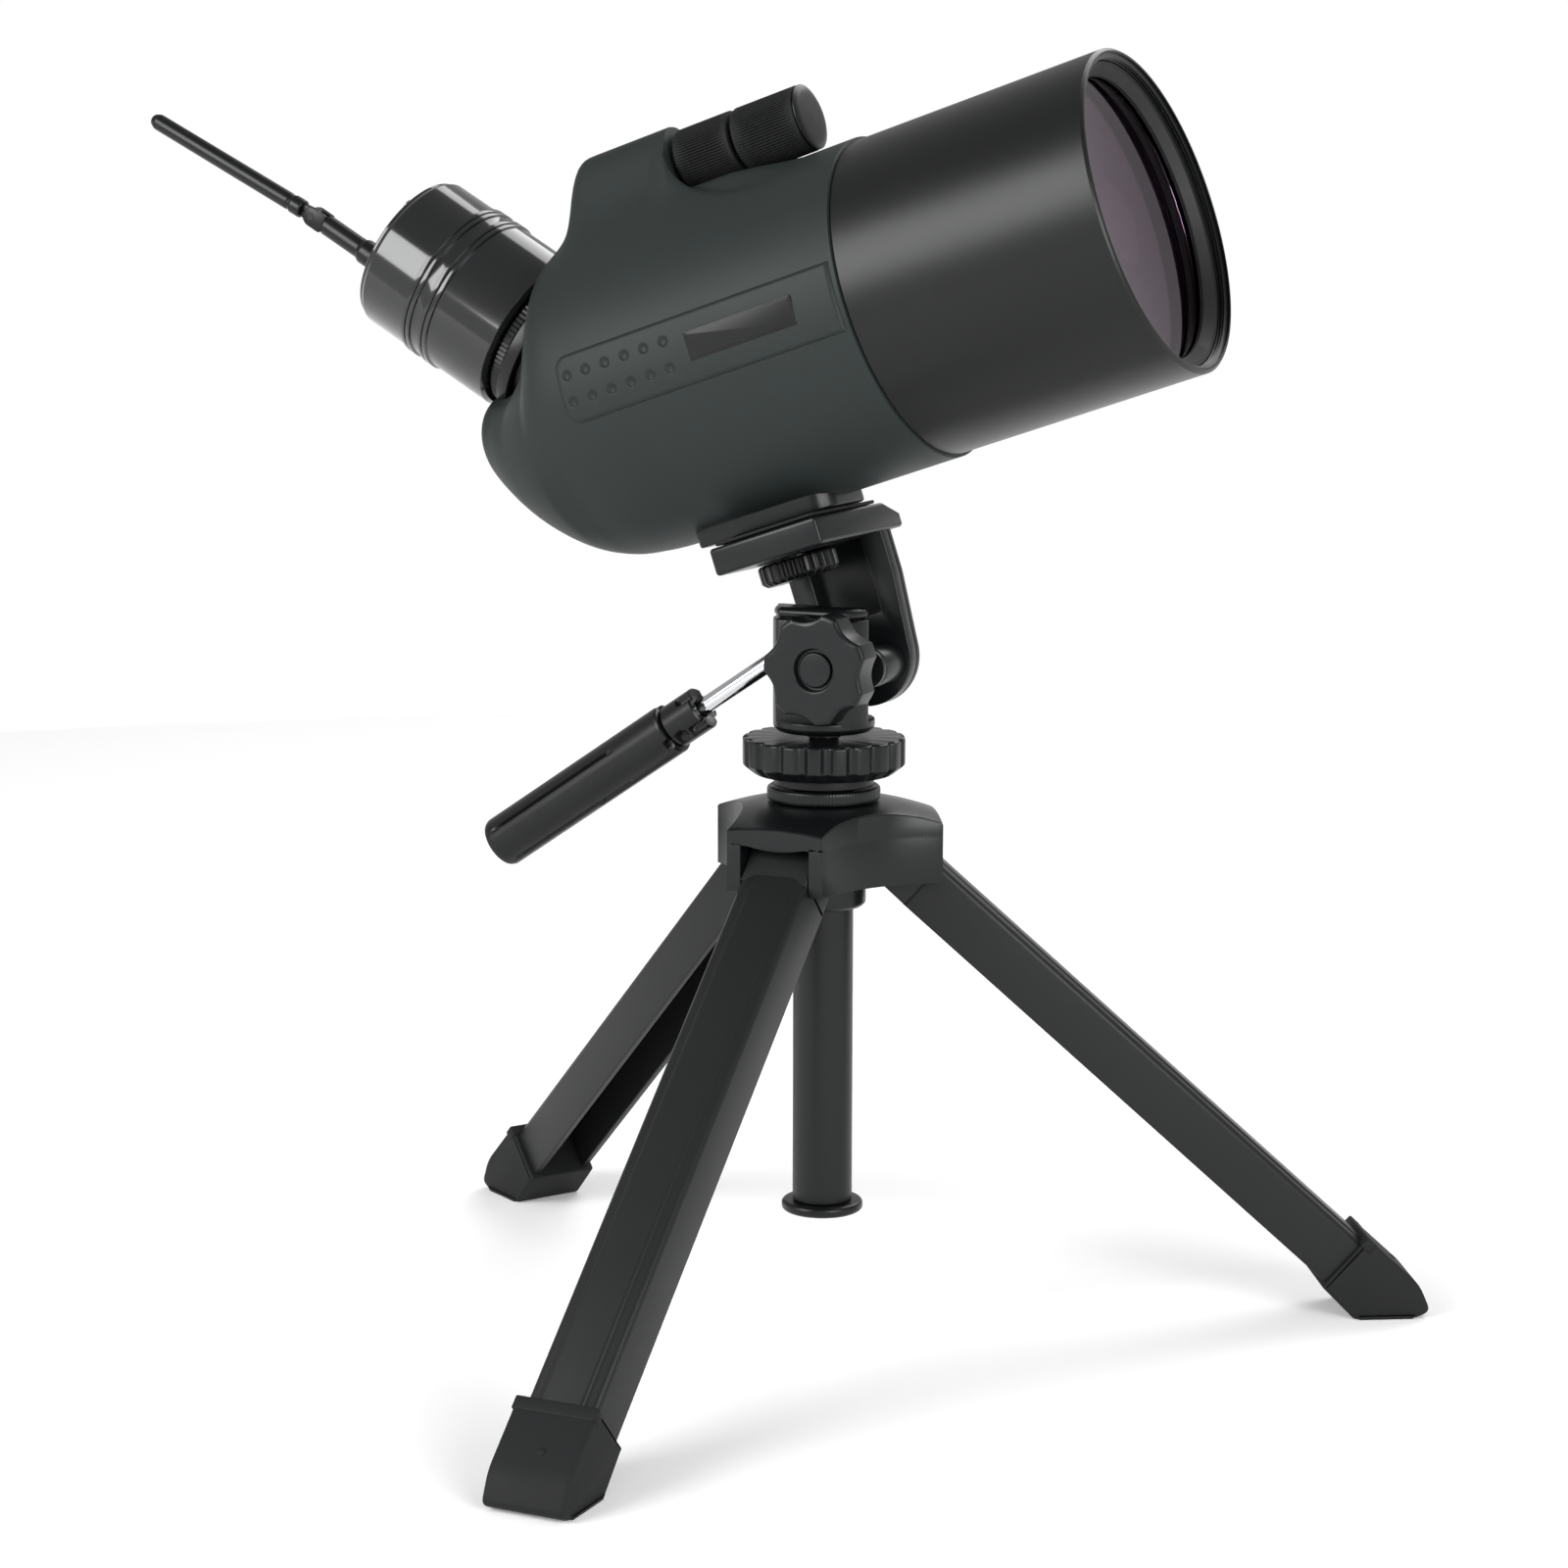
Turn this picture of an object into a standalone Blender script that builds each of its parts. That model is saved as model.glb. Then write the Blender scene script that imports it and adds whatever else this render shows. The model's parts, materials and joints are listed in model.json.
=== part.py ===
"""Compact mirror-lens spotting scope with a wireless eyepiece camera, on a tabletop tripod.

The tripod stands on the ground plane. The tilt platform, and everything it carries, lives in
a frame whose origin is on the tilt axis and which is pitched up by SCOPE_PITCH. The scope has
its own frame, whose X is the optical axis and whose origin is the seam between front tube and
body. The eyepiece camera has a third frame, whose Z is the eyepiece axis.
Sizes are in millimetres; build helpers turn them into metres.
"""
import bpy
import bmesh
import math
from mathutils import Matrix, Vector

MM = 0.001

# ---- clearances -------------------------------------------------------------------------
GAP = 0.3               # between two pieces that touch
RUN = 0.35              # round a turning or sliding piece

# ---- tripod -----------------------------------------------------------------------------
LEG_LENGTH = 168.5      # hinge pin to the foot cap
LEG_WIDTH = 19.4
LEG_DEPTH = 15.0
LEG_WALL = 2.2
LEG_SLOPE = 42.3        # degrees below horizontal when open
LEG_PIN_RADIUS = 1.6
LEG_PIN_DISTANCE = 21.0 # pin to column axis
LEG_SET_DOWN = 0.4      # leg's mid-plane below its pin
SOLE_START = 12.9       # end of the leg's straight part to the sole's rear edge
SOLE_LENGTH = 17.5
SOLE_DROP = 1.4         # foot's underside below its rear edge, at the sole
TOE_SLOPE = (1.6, 4.2)  # bevel above the toe
TOE_BACK = 6.0          # foot's top edge behind the toe
FIRST_LEG_AZIMUTH = 30.0
FOOT_WIDTH = 22.4
FOOT_WALL = 1.2
HUB_CORNER_RADIUS = 34.0
HUB_FACE_DISTANCE = 31.0
HUB_SIDE_DISTANCE = 22.5
HUB_HEIGHT = 20.8
HUB_DOME_DROP = 4.5     # fall of the domed top from its seat to the corners
HUB_SEAT_RADIUS = 16.0
HUB_PIN_DROP = 16.8     # hub seat to the leg pins
SLOT_ROOM = 0.9         # slot roof above the round end of the leg
COLUMN_RADIUS = 8.2
COLUMN_LENGTH = 118.7
COLUMN_WALL = 1.6
COLUMN_CAP_RADIUS = 11.2
COLUMN_CAP_HEIGHT = 3.2
SLEEVE_RADIUS = 11.6
SLEEVE_DROP = 8.2        # column sleeve below the hub's floor
COLLAR_RADIUS = 15.4
COLLAR_HEIGHT = 4.2
NECK_RADIUS = 13.6
NECK_HEIGHT = 3.0
PAN_WHEEL_RADIUS = 22.1
PAN_WHEEL_HEIGHT = 10.3
PAN_WHEEL_FLUTES = 20

# ---- head -------------------------------------------------------------------------------
HOUSING_RADIUS = 13.8
HOUSING_HEIGHT = 31.0
HOUSING_BASE_HEIGHT = 3.7
HOUSING_BACK = -0.8     # flat back of the housing's upright
HOUSING_FRONT = -10.2   # flat front, where the star knob bears
CROWN_HEIGHT = 3.2
TILT_AXIS_FORWARD = 6.0
TILT_AXIS_RISE = 19.2   # above the housing's underside
TILT_BOLT_RADIUS = 3.0
BOSS_RADIUS = 5.5
POCKET_RISE = 10.4      # arm pocket above the tilt axis
POCKET_DEPTH = 3.8
ARM_RIM = 6.7           # arm's rim beside the pocket
STAR_RADIUS = 15.0
STAR_THICKNESS = 9.4
STAR_LOBES = 7
ARM_INNER = 12.6
ARM_THICKNESS = 7.0
ARM_END_RADIUS = 13.9
ARM_TOP_HALF = 15.6
PLATE_TOP = 38.5        # above the tilt axis
PLATE_THICKNESS = 7.5
PLATE_LENGTH = 32.5
PLATE_HALF_WIDTH = 26.5
PAD_THICKNESS = 0.9
SCREW_BACK = 5.1        # camera screw behind the tilt axis
SCREW_RADIUS = 3.1
SCREW_REACH = 6.0
SCREW_WHEEL_RADIUS = 10.8
SCREW_WHEEL_HEIGHT = 6.0
SCREW_WHEEL_TEETH = 24
HANDLE_SLOPE = 33.9     # degrees below horizontal
HANDLE_ENTRY_RISE = 18.3
ROD_RADIUS = 2.4
ROD_VISIBLE = 24.0
GRIP_RADIUS = 7.3
GRIP_LENGTH = 66.0
GRIP_CORE_RADIUS = 6.2
GRIP_CORE_LENGTH = 11.0

# ---- scope ------------------------------------------------------------------------------
SCOPE_PITCH = 18.6      # degrees above horizontal at rest
TUBE_RADIUS = 43.0
TUBE_LENGTH = 71.7
TUBE_WALL = 2.4
BODY_LENGTH = 129.5
BODY_SWELL = 0.8        # body radius beyond the tube's
BODY_WALL = 2.6
HUMP_START = 52.8       # behind the seam
HUMP_END = 87.0
APERTURE_RADIUS = 35.2
LENS_SETBACK = 7.0
LENS_THICKNESS = 5.0
SECONDARY_RADIUS = 11.0
MIRROR_RADIUS = 35.5
MIRROR_BACK = 62.0      # behind the seam
MIRROR_THICKNESS = 6.0
MIRROR_TRAVEL = 6.0
BAFFLE_RADIUS = 9.0
BAFFLE_LENGTH = 62.0
WHEEL_RADIUS = 9.0
WHEEL_START = 1.4       # hump to the coarse wheel
COARSE_LENGTH = 17.0
FINE_LENGTH = 20.7
HUMP_OVER_WHEEL = 2.4   # hump's height beyond a wheel's diameter
HUMP_HEIGHT = 2 * WHEEL_RADIUS + HUMP_OVER_WHEEL    # above the body's top line
SPINDLE_RADIUS = 2.2
FOOT_LENGTH = 41.0
FOOT_HALF_WIDTH = 13.5
FOOT_DEPTH = 3.5        # below the tube's underside line
FOOT_SCREW_BACK = 54.5  # mount screw behind the seam
BUSH_RADIUS = 5.6
NAME_PLATE_LENGTH = 32.0
NAME_PLATE_HEIGHT = 7.8
NAME_PLATE_THICKNESS = 0.8
NAME_PLATE_BACK = 29.5  # plate centre behind the seam
NAME_PLATE_RISE = 2.4

# ---- eyepiece camera --------------------------------------------------------------------
EYEPIECE_ANGLE = 48.8   # between the optical axis and the eyepiece axis
PORT_BACK = 106.2       # port face behind the seam
PORT_RISE = 17.8        # port face above the optical axis
COLLAR_PORT_RADIUS = 21.3
COLLAR_PORT_HEIGHT = 4.2
BARREL_RADIUS = 15.8
BARREL_DEPTH = 14.0
CAMERA_RADIUS = 22.6
CAMERA_LENGTH = 46.3
CAMERA_FRONT = 7.7      # shell's front face above the port face
CAMERA_WALL = 1.8
RIDGE_HEIGHT = 0.45
BUTTON_RADIUS = 2.2
BUTTON_TRAVEL = 0.8
BUTTON_OFFSET = 17.0
ANTENNA_BASE_RADIUS = 3.6
ANTENNA_BASE_LENGTH = 29.0
ANTENNA_RADIUS = 2.45
ANTENNA_LENGTH = 61.0
ANTENNA_DROP = 8.0      # below the eyepiece axis
ANTENNA_DROOP = 2.8     # degrees



# ---- materials --------------------------------------------------------------------------
def material(name, colour, roughness, metallic=0.0):
    """A Principled material with one plain colour."""
    made = bpy.data.materials.new(name)
    made.use_nodes = True
    shader = made.node_tree.nodes["Principled BSDF"]
    shader.inputs["Base Color"].default_value = (*colour, 1.0)
    shader.inputs["Roughness"].default_value = roughness
    shader.inputs["Metallic"].default_value = metallic
    return made


# ---- frames and placing -----------------------------------------------------------------
def frame(name, parent, location, rotation=None):
    """An empty that carries pieces; location in millimetres, rotation a 3x3 or 4x4 matrix."""
    empty = bpy.data.objects.new(name, None)
    bpy.context.collection.objects.link(empty)
    empty.parent = parent
    turn = rotation.to_4x4() if rotation is not None else Matrix.Identity(4)
    empty.matrix_basis = Matrix.Translation(Vector(location) * MM) @ turn
    return empty


def finish(bm, name, parent, surface, smooth=True):
    """Turn a bmesh in millimetres into a named object under its parent."""
    bmesh.ops.remove_doubles(bm, verts=bm.verts, dist=1e-4)
    bmesh.ops.recalc_face_normals(bm, faces=bm.faces)
    bmesh.ops.scale(bm, vec=(MM, MM, MM), verts=bm.verts)
    mesh = bpy.data.meshes.new(name)
    bm.to_mesh(mesh)
    bm.free()
    if smooth:
        mesh.shade_smooth()
        mesh.set_sharp_from_angle(angle=math.radians(35))
    if surface is not None:
        mesh.materials.append(surface)
    piece = bpy.data.objects.new(name, mesh)
    bpy.context.collection.objects.link(piece)
    piece.parent = parent
    return piece


def combine(piece, tools, operation):
    """Boolean the tool objects into the piece and keep them as hidden guides."""
    for tool in tools:
        tool.name = piece.name + "_" + operation.lower() + "_tool"
        tool.hide_render = True
        tool.display_type = "WIRE"
        step = piece.modifiers.new(tool.name, "BOOLEAN")
        step.operation = operation
        step.object = tool
        step.solver = "EXACT"
    return piece


def cut(piece, *tools):
    """Subtract the tools from the piece."""
    return combine(piece, tools, "DIFFERENCE")


def join(piece, *tools):
    """Unite the tools with the piece."""
    return combine(piece, tools, "UNION")


# ---- shapes -----------------------------------------------------------------------------
AXES = {
    "X": Matrix.Rotation(math.radians(90), 4, "Y"),
    "Y": Matrix.Rotation(math.radians(-90), 4, "X"),
    "Z": Matrix.Identity(4),
}


def turned(name, profile, parent, surface, at=(0, 0, 0), axis="Z", steps=28):
    """Spin a profile of (radius, height) points once round the axis through 'at'."""
    bm = bmesh.new()
    points = [bm.verts.new((radius, 0, height)) for radius, height in profile]
    edges = [bm.edges.new(pair) for pair in zip(points, points[1:])]
    if profile[0][0] > 0 or profile[-1][0] > 0:
        edges.append(bm.edges.new((points[-1], points[0])))
    bmesh.ops.spin(bm, geom=points + edges, cent=(0, 0, 0), axis=(0, 0, 1),
                   angle=math.tau, steps=steps, use_merge=True)
    place = Matrix.Translation(at) @ AXES[axis]
    bmesh.ops.remove_doubles(bm, verts=bm.verts, dist=1e-4)
    bmesh.ops.transform(bm, matrix=place, verts=bm.verts)
    return finish(bm, name, parent, surface)


def rod(name, radius, low, high, parent, surface, at=(0, 0, 0), axis="Z", steps=20):
    """A plain round bar from low to high along its axis."""
    profile = [(0, low), (radius, low), (radius, high), (0, high)]
    return turned(name, profile, parent, surface, at, axis, steps)


def pipe(name, inner, outer, low, high, parent, surface, at=(0, 0, 0), axis="Z", steps=32):
    """A plain tube from low to high along its axis."""
    profile = [(inner, low), (outer, low), (outer, high), (inner, high)]
    return turned(name, profile, parent, surface, at, axis, steps)


def prism(name, outline, low, high, parent, surface, axis="Z", at=(0, 0, 0), smooth=True):
    """Extrude a closed outline; on axis Y the outline is (x, z), on Z it is (x, y)."""
    bm = bmesh.new()
    if axis == "Z":
        corners = [bm.verts.new((a, b, low)) for a, b in outline]
        step = Vector((0, 0, high - low))
    else:
        corners = [bm.verts.new((a, low, b)) for a, b in outline]
        step = Vector((0, high - low, 0))
    face = bm.faces.new(corners)
    grown = bmesh.ops.extrude_face_region(bm, geom=[face])
    moved = [item for item in grown["geom"] if isinstance(item, bmesh.types.BMVert)]
    bmesh.ops.translate(bm, vec=step, verts=moved)
    bmesh.ops.translate(bm, vec=Vector(at), verts=bm.verts)
    return finish(bm, name, parent, surface, smooth)


def block(name, low, high, parent, surface, soften=0.0):
    """A box between two corners, with its edges bevelled by 'soften'."""
    bm = bmesh.new()
    bmesh.ops.create_cube(bm, size=1.0)
    size = Vector(high) - Vector(low)
    bmesh.ops.scale(bm, vec=size, verts=bm.verts)
    bmesh.ops.translate(bm, vec=(Vector(high) + Vector(low)) / 2, verts=bm.verts)
    if soften > 0:
        bmesh.ops.bevel(bm, geom=bm.edges, offset=soften, segments=2, profile=0.5,
                        affect="EDGES")
    return finish(bm, name, parent, surface, smooth=False)


def loft(name, rings, parent, surface):
    """Skin a list of rings of equal length and close both ends."""
    bm = bmesh.new()
    loops = [[bm.verts.new(point) for point in ring] for ring in rings]
    count = len(loops[0])
    for near, far in zip(loops, loops[1:]):
        for i in range(count):
            j = (i + 1) % count
            bm.faces.new((near[i], near[j], far[j], far[i]))
    bm.faces.new(loops[0])
    bm.faces.new(reversed(loops[-1]))
    return finish(bm, name, parent, surface)


def arc(centre, radius, start, end, steps):
    """Points on a circle arc from start to end, in degrees."""
    angles = [math.radians(start + (end - start) * i / steps) for i in range(steps + 1)]
    return [(centre[0] + radius * math.cos(a), centre[1] + radius * math.sin(a))
            for a in angles]


def wavy_outline(radius, depth, count, steps_per_wave, sharpness=1.0):
    """A round outline whose radius dips by 'depth' between 'count' crests."""
    total = count * steps_per_wave
    points = []
    for i in range(total):
        angle = math.tau * i / total
        dip = (0.5 - 0.5 * math.cos(count * angle)) ** sharpness
        reach = radius - depth * dip
        points.append((reach * math.cos(angle), reach * math.sin(angle)))
    return points


def pitched(degrees):
    """A turn about Y that lifts +X by the given angle."""
    return Matrix.Rotation(math.radians(-degrees), 3, "Y")


def between(value, pairs):
    """Straight-line interpolation through (position, value) pairs in rising order."""
    for (a, low), (b, high) in zip(pairs, pairs[1:]):
        if value <= b:
            share = (value - a) / (b - a)
            return low + (high - low) * min(1.0, max(0.0, share))
    return pairs[-1][1]


# ---- tripod -----------------------------------------------------------------------------
def hub_outline():
    """Rounded triangle: three flat corner faces joined by shallow hollow sides."""
    half_face = math.sqrt(HUB_CORNER_RADIUS ** 2 - HUB_FACE_DISTANCE ** 2)
    points = []
    for leg in range(3):
        corner = math.radians(FIRST_LEG_AZIMUTH + 120 * leg)
        spread = math.atan2(half_face, HUB_FACE_DISTANCE)
        first = corner + spread
        last = corner + math.radians(120) - spread
        for i in range(9):
            share = i / 8
            angle = first + (last - first) * share
            sag = 1 - abs(2 * share - 1) ** 1.6
            reach = HUB_CORNER_RADIUS + (HUB_SIDE_DISTANCE - HUB_CORNER_RADIUS) * sag
            points.append((reach * math.cos(angle), reach * math.sin(angle)))
    return points


def build_hub(root, crown, black):
    """The cast hub: domed crown, hollow sides, three leg slots and the column sleeve."""
    floor = crown - HUB_HEIGHT
    hub = prism("hub", hub_outline(), floor, crown, root, black)
    far = HUB_CORNER_RADIUS + 8
    fall = HUB_DOME_DROP / (HUB_CORNER_RADIUS - HUB_SEAT_RADIUS) ** 1.5
    profile = [(0, floor - 1), (far, floor - 1)]
    for i in range(6):
        radius = far + (HUB_SEAT_RADIUS - far) * i / 5
        profile.append((radius, crown - fall * (radius - HUB_SEAT_RADIUS) ** 1.5))
    profile.append((0, crown))
    dome = turned("dome", profile, root, None, steps=36)
    combine(hub, [dome], "INTERSECT")
    sleeve = rod("sleeve", SLEEVE_RADIUS, floor - SLEEVE_DROP, floor + 4, root, None, steps=24)
    join(hub, sleeve)
    slots = []
    half = LEG_WIDTH / 2 + RUN
    for leg in range(3):
        turn = Matrix.Rotation(math.radians(FIRST_LEG_AZIMUTH + 120 * leg), 3, "Z")
        carrier = frame("slot_%d_frame" % (leg + 1), root, (0, 0, 0), turn)
        inner = SLEEVE_RADIUS + 0.6
        slot_top = crown - HUB_PIN_DROP + LEG_DEPTH / 2 + LEG_SET_DOWN + SLOT_ROOM
        slots.append(block("slot", (inner, -half, floor - 1),
                           (HUB_CORNER_RADIUS + 5, half, slot_top), carrier, None))
        slots.append(rod("pin_bore", LEG_PIN_RADIUS + 0.05, -half - 2.6, half + 2.6, carrier,
                         None, at=(LEG_PIN_DISTANCE, 0, crown - HUB_PIN_DROP), axis="Y",
                         steps=16))
    bore = rod("bore", COLUMN_RADIUS + RUN, floor - SLEEVE_DROP - 1, crown + 1, root, None,
               steps=32)
    return cut(hub, bore, *slots)


def build_leg(number, root, crown, dark, rubber, steel):
    """One folding leg: hinge pin, channel leg and rubber foot."""
    turn = Matrix.Rotation(math.radians(FIRST_LEG_AZIMUTH + 120 * (number - 1)), 3, "Z")
    side = frame("leg_%d_side" % number, root, (0, 0, 0), turn)
    pin_height = crown - HUB_PIN_DROP
    half = LEG_WIDTH / 2
    rod("leg_pin_%d" % number, LEG_PIN_RADIUS, -half - 2.4, half + 2.4, side, steel,
        at=(LEG_PIN_DISTANCE, 0, pin_height), axis="Y", steps=16)
    hinge = frame("leg_%d_hinge" % number, side, (LEG_PIN_DISTANCE, 0, pin_height),
                  pitched(-LEG_SLOPE))
    low = -LEG_DEPTH / 2 - LEG_SET_DOWN
    top = LEG_DEPTH / 2 - LEG_SET_DOWN
    outline = [(LEG_LENGTH + 4, low), (LEG_LENGTH + 4, top)]
    outline += arc((0, 0), -low, 75, 270, 8)
    leg = prism("leg_%d" % number, outline, -half, half, hinge, dark, axis="Y")
    channel = block("channel", (7, -half + LEG_WALL, low - 1),
                    (LEG_LENGTH + 5, half - LEG_WALL, top - LEG_WALL), hinge, None)
    bore = rod("bore", LEG_PIN_RADIUS + RUN, -half - 1, half + 1, hinge, None, axis="Y",
               steps=16)
    cut(leg, channel, bore)
    slope = math.radians(LEG_SLOPE)
    cap_low = low - FOOT_WALL - GAP
    cap_top = top + FOOT_WALL + GAP
    cap_start = LEG_LENGTH - 0.5
    heel = (LEG_LENGTH + SOLE_START, cap_low - SOLE_DROP)
    toe = (heel[0] + SOLE_LENGTH * math.cos(slope), heel[1] + SOLE_LENGTH * math.sin(slope))
    cap_line = [(cap_start, cap_low), heel, toe, (toe[0] + TOE_SLOPE[0], toe[1] + TOE_SLOPE[1]),
                (toe[0] - TOE_BACK, cap_top), (cap_start, cap_top)]
    foot = prism("foot_%d" % number, cap_line, -FOOT_WIDTH / 2, FOOT_WIDTH / 2, hinge, rubber,
                 axis="Y", smooth=False)
    socket = block("socket", (cap_start - 1, -half - GAP, low - GAP),
                   (LEG_LENGTH + 4 + GAP, half + GAP, top + GAP), hinge, None)
    cut(foot, socket)


def leg_stand_height():
    """Height of the leg pins above the ground when the open legs stand on their soles."""
    slope = math.radians(LEG_SLOPE)
    low = -LEG_DEPTH / 2 - LEG_SET_DOWN - FOOT_WALL - GAP - SOLE_DROP
    return (LEG_LENGTH + SOLE_START) * math.sin(slope) - low * math.cos(slope)


def build_column(root, crown, black, dark):
    """Centre column that slides in the hub, its end cap and the pan spindle on top."""
    top = crown + COLLAR_HEIGHT + NECK_HEIGHT
    column = frame("column_slide", root, (0, 0, 0))
    tube_low = top - COLUMN_LENGTH
    profile = [(COLUMN_RADIUS - COLUMN_WALL, tube_low), (COLUMN_RADIUS, tube_low),
               (COLUMN_RADIUS, crown + COLLAR_HEIGHT + GAP),
               (NECK_RADIUS, crown + COLLAR_HEIGHT + GAP),
               (NECK_RADIUS, top), (4.0, top), (4.0, top + PAN_WHEEL_HEIGHT + 6),
               (0, top + PAN_WHEEL_HEIGHT + 6), (0, top - 4),
               (COLUMN_RADIUS - COLUMN_WALL, top - 4)]
    turned("column_tube", profile, column, dark, steps=24)
    plug = COLUMN_RADIUS - COLUMN_WALL - GAP
    cap = [(0, tube_low - COLUMN_CAP_HEIGHT), (COLUMN_CAP_RADIUS, tube_low - COLUMN_CAP_HEIGHT),
           (COLUMN_CAP_RADIUS, tube_low - GAP), (plug, tube_low - GAP), (plug, tube_low + 6),
           (0, tube_low + 6)]
    turned("column_end_cap", cap, column, black, steps=24)
    return column, top


def build_collar(root, crown, black):
    """Knurled ring that locks the column height."""
    collar = frame("collar_turn", root, (0, 0, 0))
    outline = wavy_outline(COLLAR_RADIUS, 0.35, 24, 2)
    low = crown + GAP
    ring = prism("column_lock_ring", outline, low, crown + COLLAR_HEIGHT, collar, black)
    cut(ring, rod("bore", COLUMN_RADIUS + RUN, low - 1, crown + COLLAR_HEIGHT + 1, collar,
                  None, steps=32))
    return collar


def build_pan_wheel(column, low, black):
    """Fluted wheel that locks the pan."""
    wheel = frame("pan_wheel_turn", column, (0, 0, 0))
    outline = wavy_outline(PAN_WHEEL_RADIUS, 1.5, PAN_WHEEL_FLUTES, 4, 1.6)
    high = low + PAN_WHEEL_HEIGHT
    piece = prism("pan_lock_wheel", outline, low + GAP, high, wheel, black)
    edge = 1.8
    guard = turned("guard", [(0, low - 1), (PAN_WHEEL_RADIUS - edge - 1.5, low - 1),
                             (PAN_WHEEL_RADIUS + 0.6, low + edge + 0.6),
                             (PAN_WHEEL_RADIUS + 0.6, high - edge * 0.4),
                             (PAN_WHEEL_RADIUS - edge * 0.4, high + 0.6), (0, high + 0.6)],
                   wheel, None, steps=28)
    combine(piece, [guard], "INTERSECT")
    return cut(piece, rod("bore", 4.0 + RUN, low - 2, high + 2, wheel, None, steps=24))


# ---- head -------------------------------------------------------------------------------
def build_housing(column, low, black, chrome):
    """Pan housing: round base, flat-sided upright with its crown, and the pan handle."""
    pan = frame("pan_turn", column, (0, 0, 0))
    high = low + HOUSING_HEIGHT
    base_top = low + HOUSING_BASE_HEIGHT
    profile = [(0, low + GAP), (HOUSING_RADIUS - 1, low + GAP), (HOUSING_RADIUS, low + 1.3),
               (HOUSING_RADIUS, high), (0, high)]
    housing = turned("pan_housing", profile, pan, black, steps=32)
    clear = HOUSING_RADIUS + 5
    back_cut = block("back", (-clear, HOUSING_BACK, base_top), (clear, clear, high + 5), pan,
                     None)
    front_cut = block("front", (-clear, -clear, base_top), (clear, HOUSING_FRONT, high + 5),
                      pan, None)
    axis_height = low + TILT_AXIS_RISE
    bolt_hole = rod("bolt_hole", TILT_BOLT_RADIUS + RUN, -clear, clear, pan, None,
                    at=(TILT_AXIS_FORWARD, 0, axis_height), axis="Y")
    spindle_hole = rod("spindle_hole", 4.0 + RUN, low - 1, low + 7, pan, None)
    slope = math.radians(HANDLE_SLOPE)
    entry = Vector((-HOUSING_RADIUS, (HOUSING_BACK + HOUSING_FRONT) / 2,
                    low + HANDLE_ENTRY_RISE))
    handle = frame("handle_turn", pan, entry, Matrix.Rotation(math.pi + math.radians(90)
                   - slope, 3, "Y"))
    rod_hole = rod("rod_hole", ROD_RADIUS + RUN, -7.0, 10.0, handle, None)
    cut(housing, back_cut, front_cut, bolt_hole, spindle_hole, rod_hole)
    crown_outline = arc((0, 0), HOUSING_RADIUS - 0.2, 185, 355, 14)
    crown_outline = [(x, min(y, HOUSING_BACK)) for x, y in crown_outline]
    crown_outline = [(x, max(y, HOUSING_FRONT)) for x, y in crown_outline]
    crown_piece = prism("housing_crown", tidy_outline(crown_outline), high + GAP,
                        high + CROWN_HEIGHT, pan, black)
    rod("handle_rod", ROD_RADIUS, -6.5, ROD_VISIBLE + 16.0, handle, chrome)
    return pan, handle, axis_height, crown_piece


def tidy_outline(points):
    """Drop points that repeat the one before."""
    kept = []
    for point in points:
        if not kept or (Vector(point) - Vector(kept[-1])).length > 0.05:
            kept.append(point)
    return kept


def build_grip(handle, black):
    """Handle grip with its core sleeve; both turn with the rod."""
    start = ROD_VISIBLE
    core_end = start + GRIP_CORE_LENGTH
    grip_end = core_end + GRIP_LENGTH
    bore = ROD_RADIUS + GAP
    rod_end = start + 16.0 + GAP
    turned("grip_sleeve", [(bore, start), (GRIP_CORE_RADIUS, start),
                           (GRIP_CORE_RADIUS, core_end - GAP), (bore, core_end - GAP)],
           handle, black, steps=24)
    profile = [(bore, core_end), (GRIP_RADIUS - 0.8, core_end), (GRIP_RADIUS, core_end + 0.8),
               (GRIP_RADIUS, grip_end - 1.0), (GRIP_RADIUS - 1.0, grip_end), (0, grip_end),
               (0, rod_end), (bore, rod_end)]
    grip = turned("handle_grip", profile, handle, black, steps=24)
    grooves = []
    for i in range(6):
        turn = Matrix.Rotation(math.tau * i / 6, 3, "Z")
        carrier = frame("groove_%d_frame" % i, handle, (0, 0, 0), turn)
        grooves.append(block("groove", (GRIP_RADIUS - 1.4, -0.8, core_end - 1),
                             (GRIP_RADIUS + 1, 0.8, grip_end - 14), carrier, None))
    return cut(grip, *grooves)


def build_star_knob(pan, axis_height, black):
    """Seven-lobed tilt lock knob with its recessed centre."""
    knob = frame("tilt_knob_turn", pan, (TILT_AXIS_FORWARD, 0, axis_height))
    back = HOUSING_FRONT - GAP
    front = back - STAR_THICKNESS
    outline = wavy_outline(STAR_RADIUS, 3.2, STAR_LOBES, 6, 1.5)
    turned_outline = [(y, x) for x, y in outline]
    piece = prism("tilt_star_knob", turned_outline, front, back, knob, black, axis="Y")
    groove = pipe("groove", 4.5, 5.4, -front - 1.5, -front + 1, knob, None, axis="Y")
    groove.data.transform(Matrix.Rotation(math.pi, 4, "X"))
    bore = rod("bore", TILT_BOLT_RADIUS + GAP, front + 4, back + 1, knob, None, axis="Y")
    return cut(piece, groove, bore)


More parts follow.
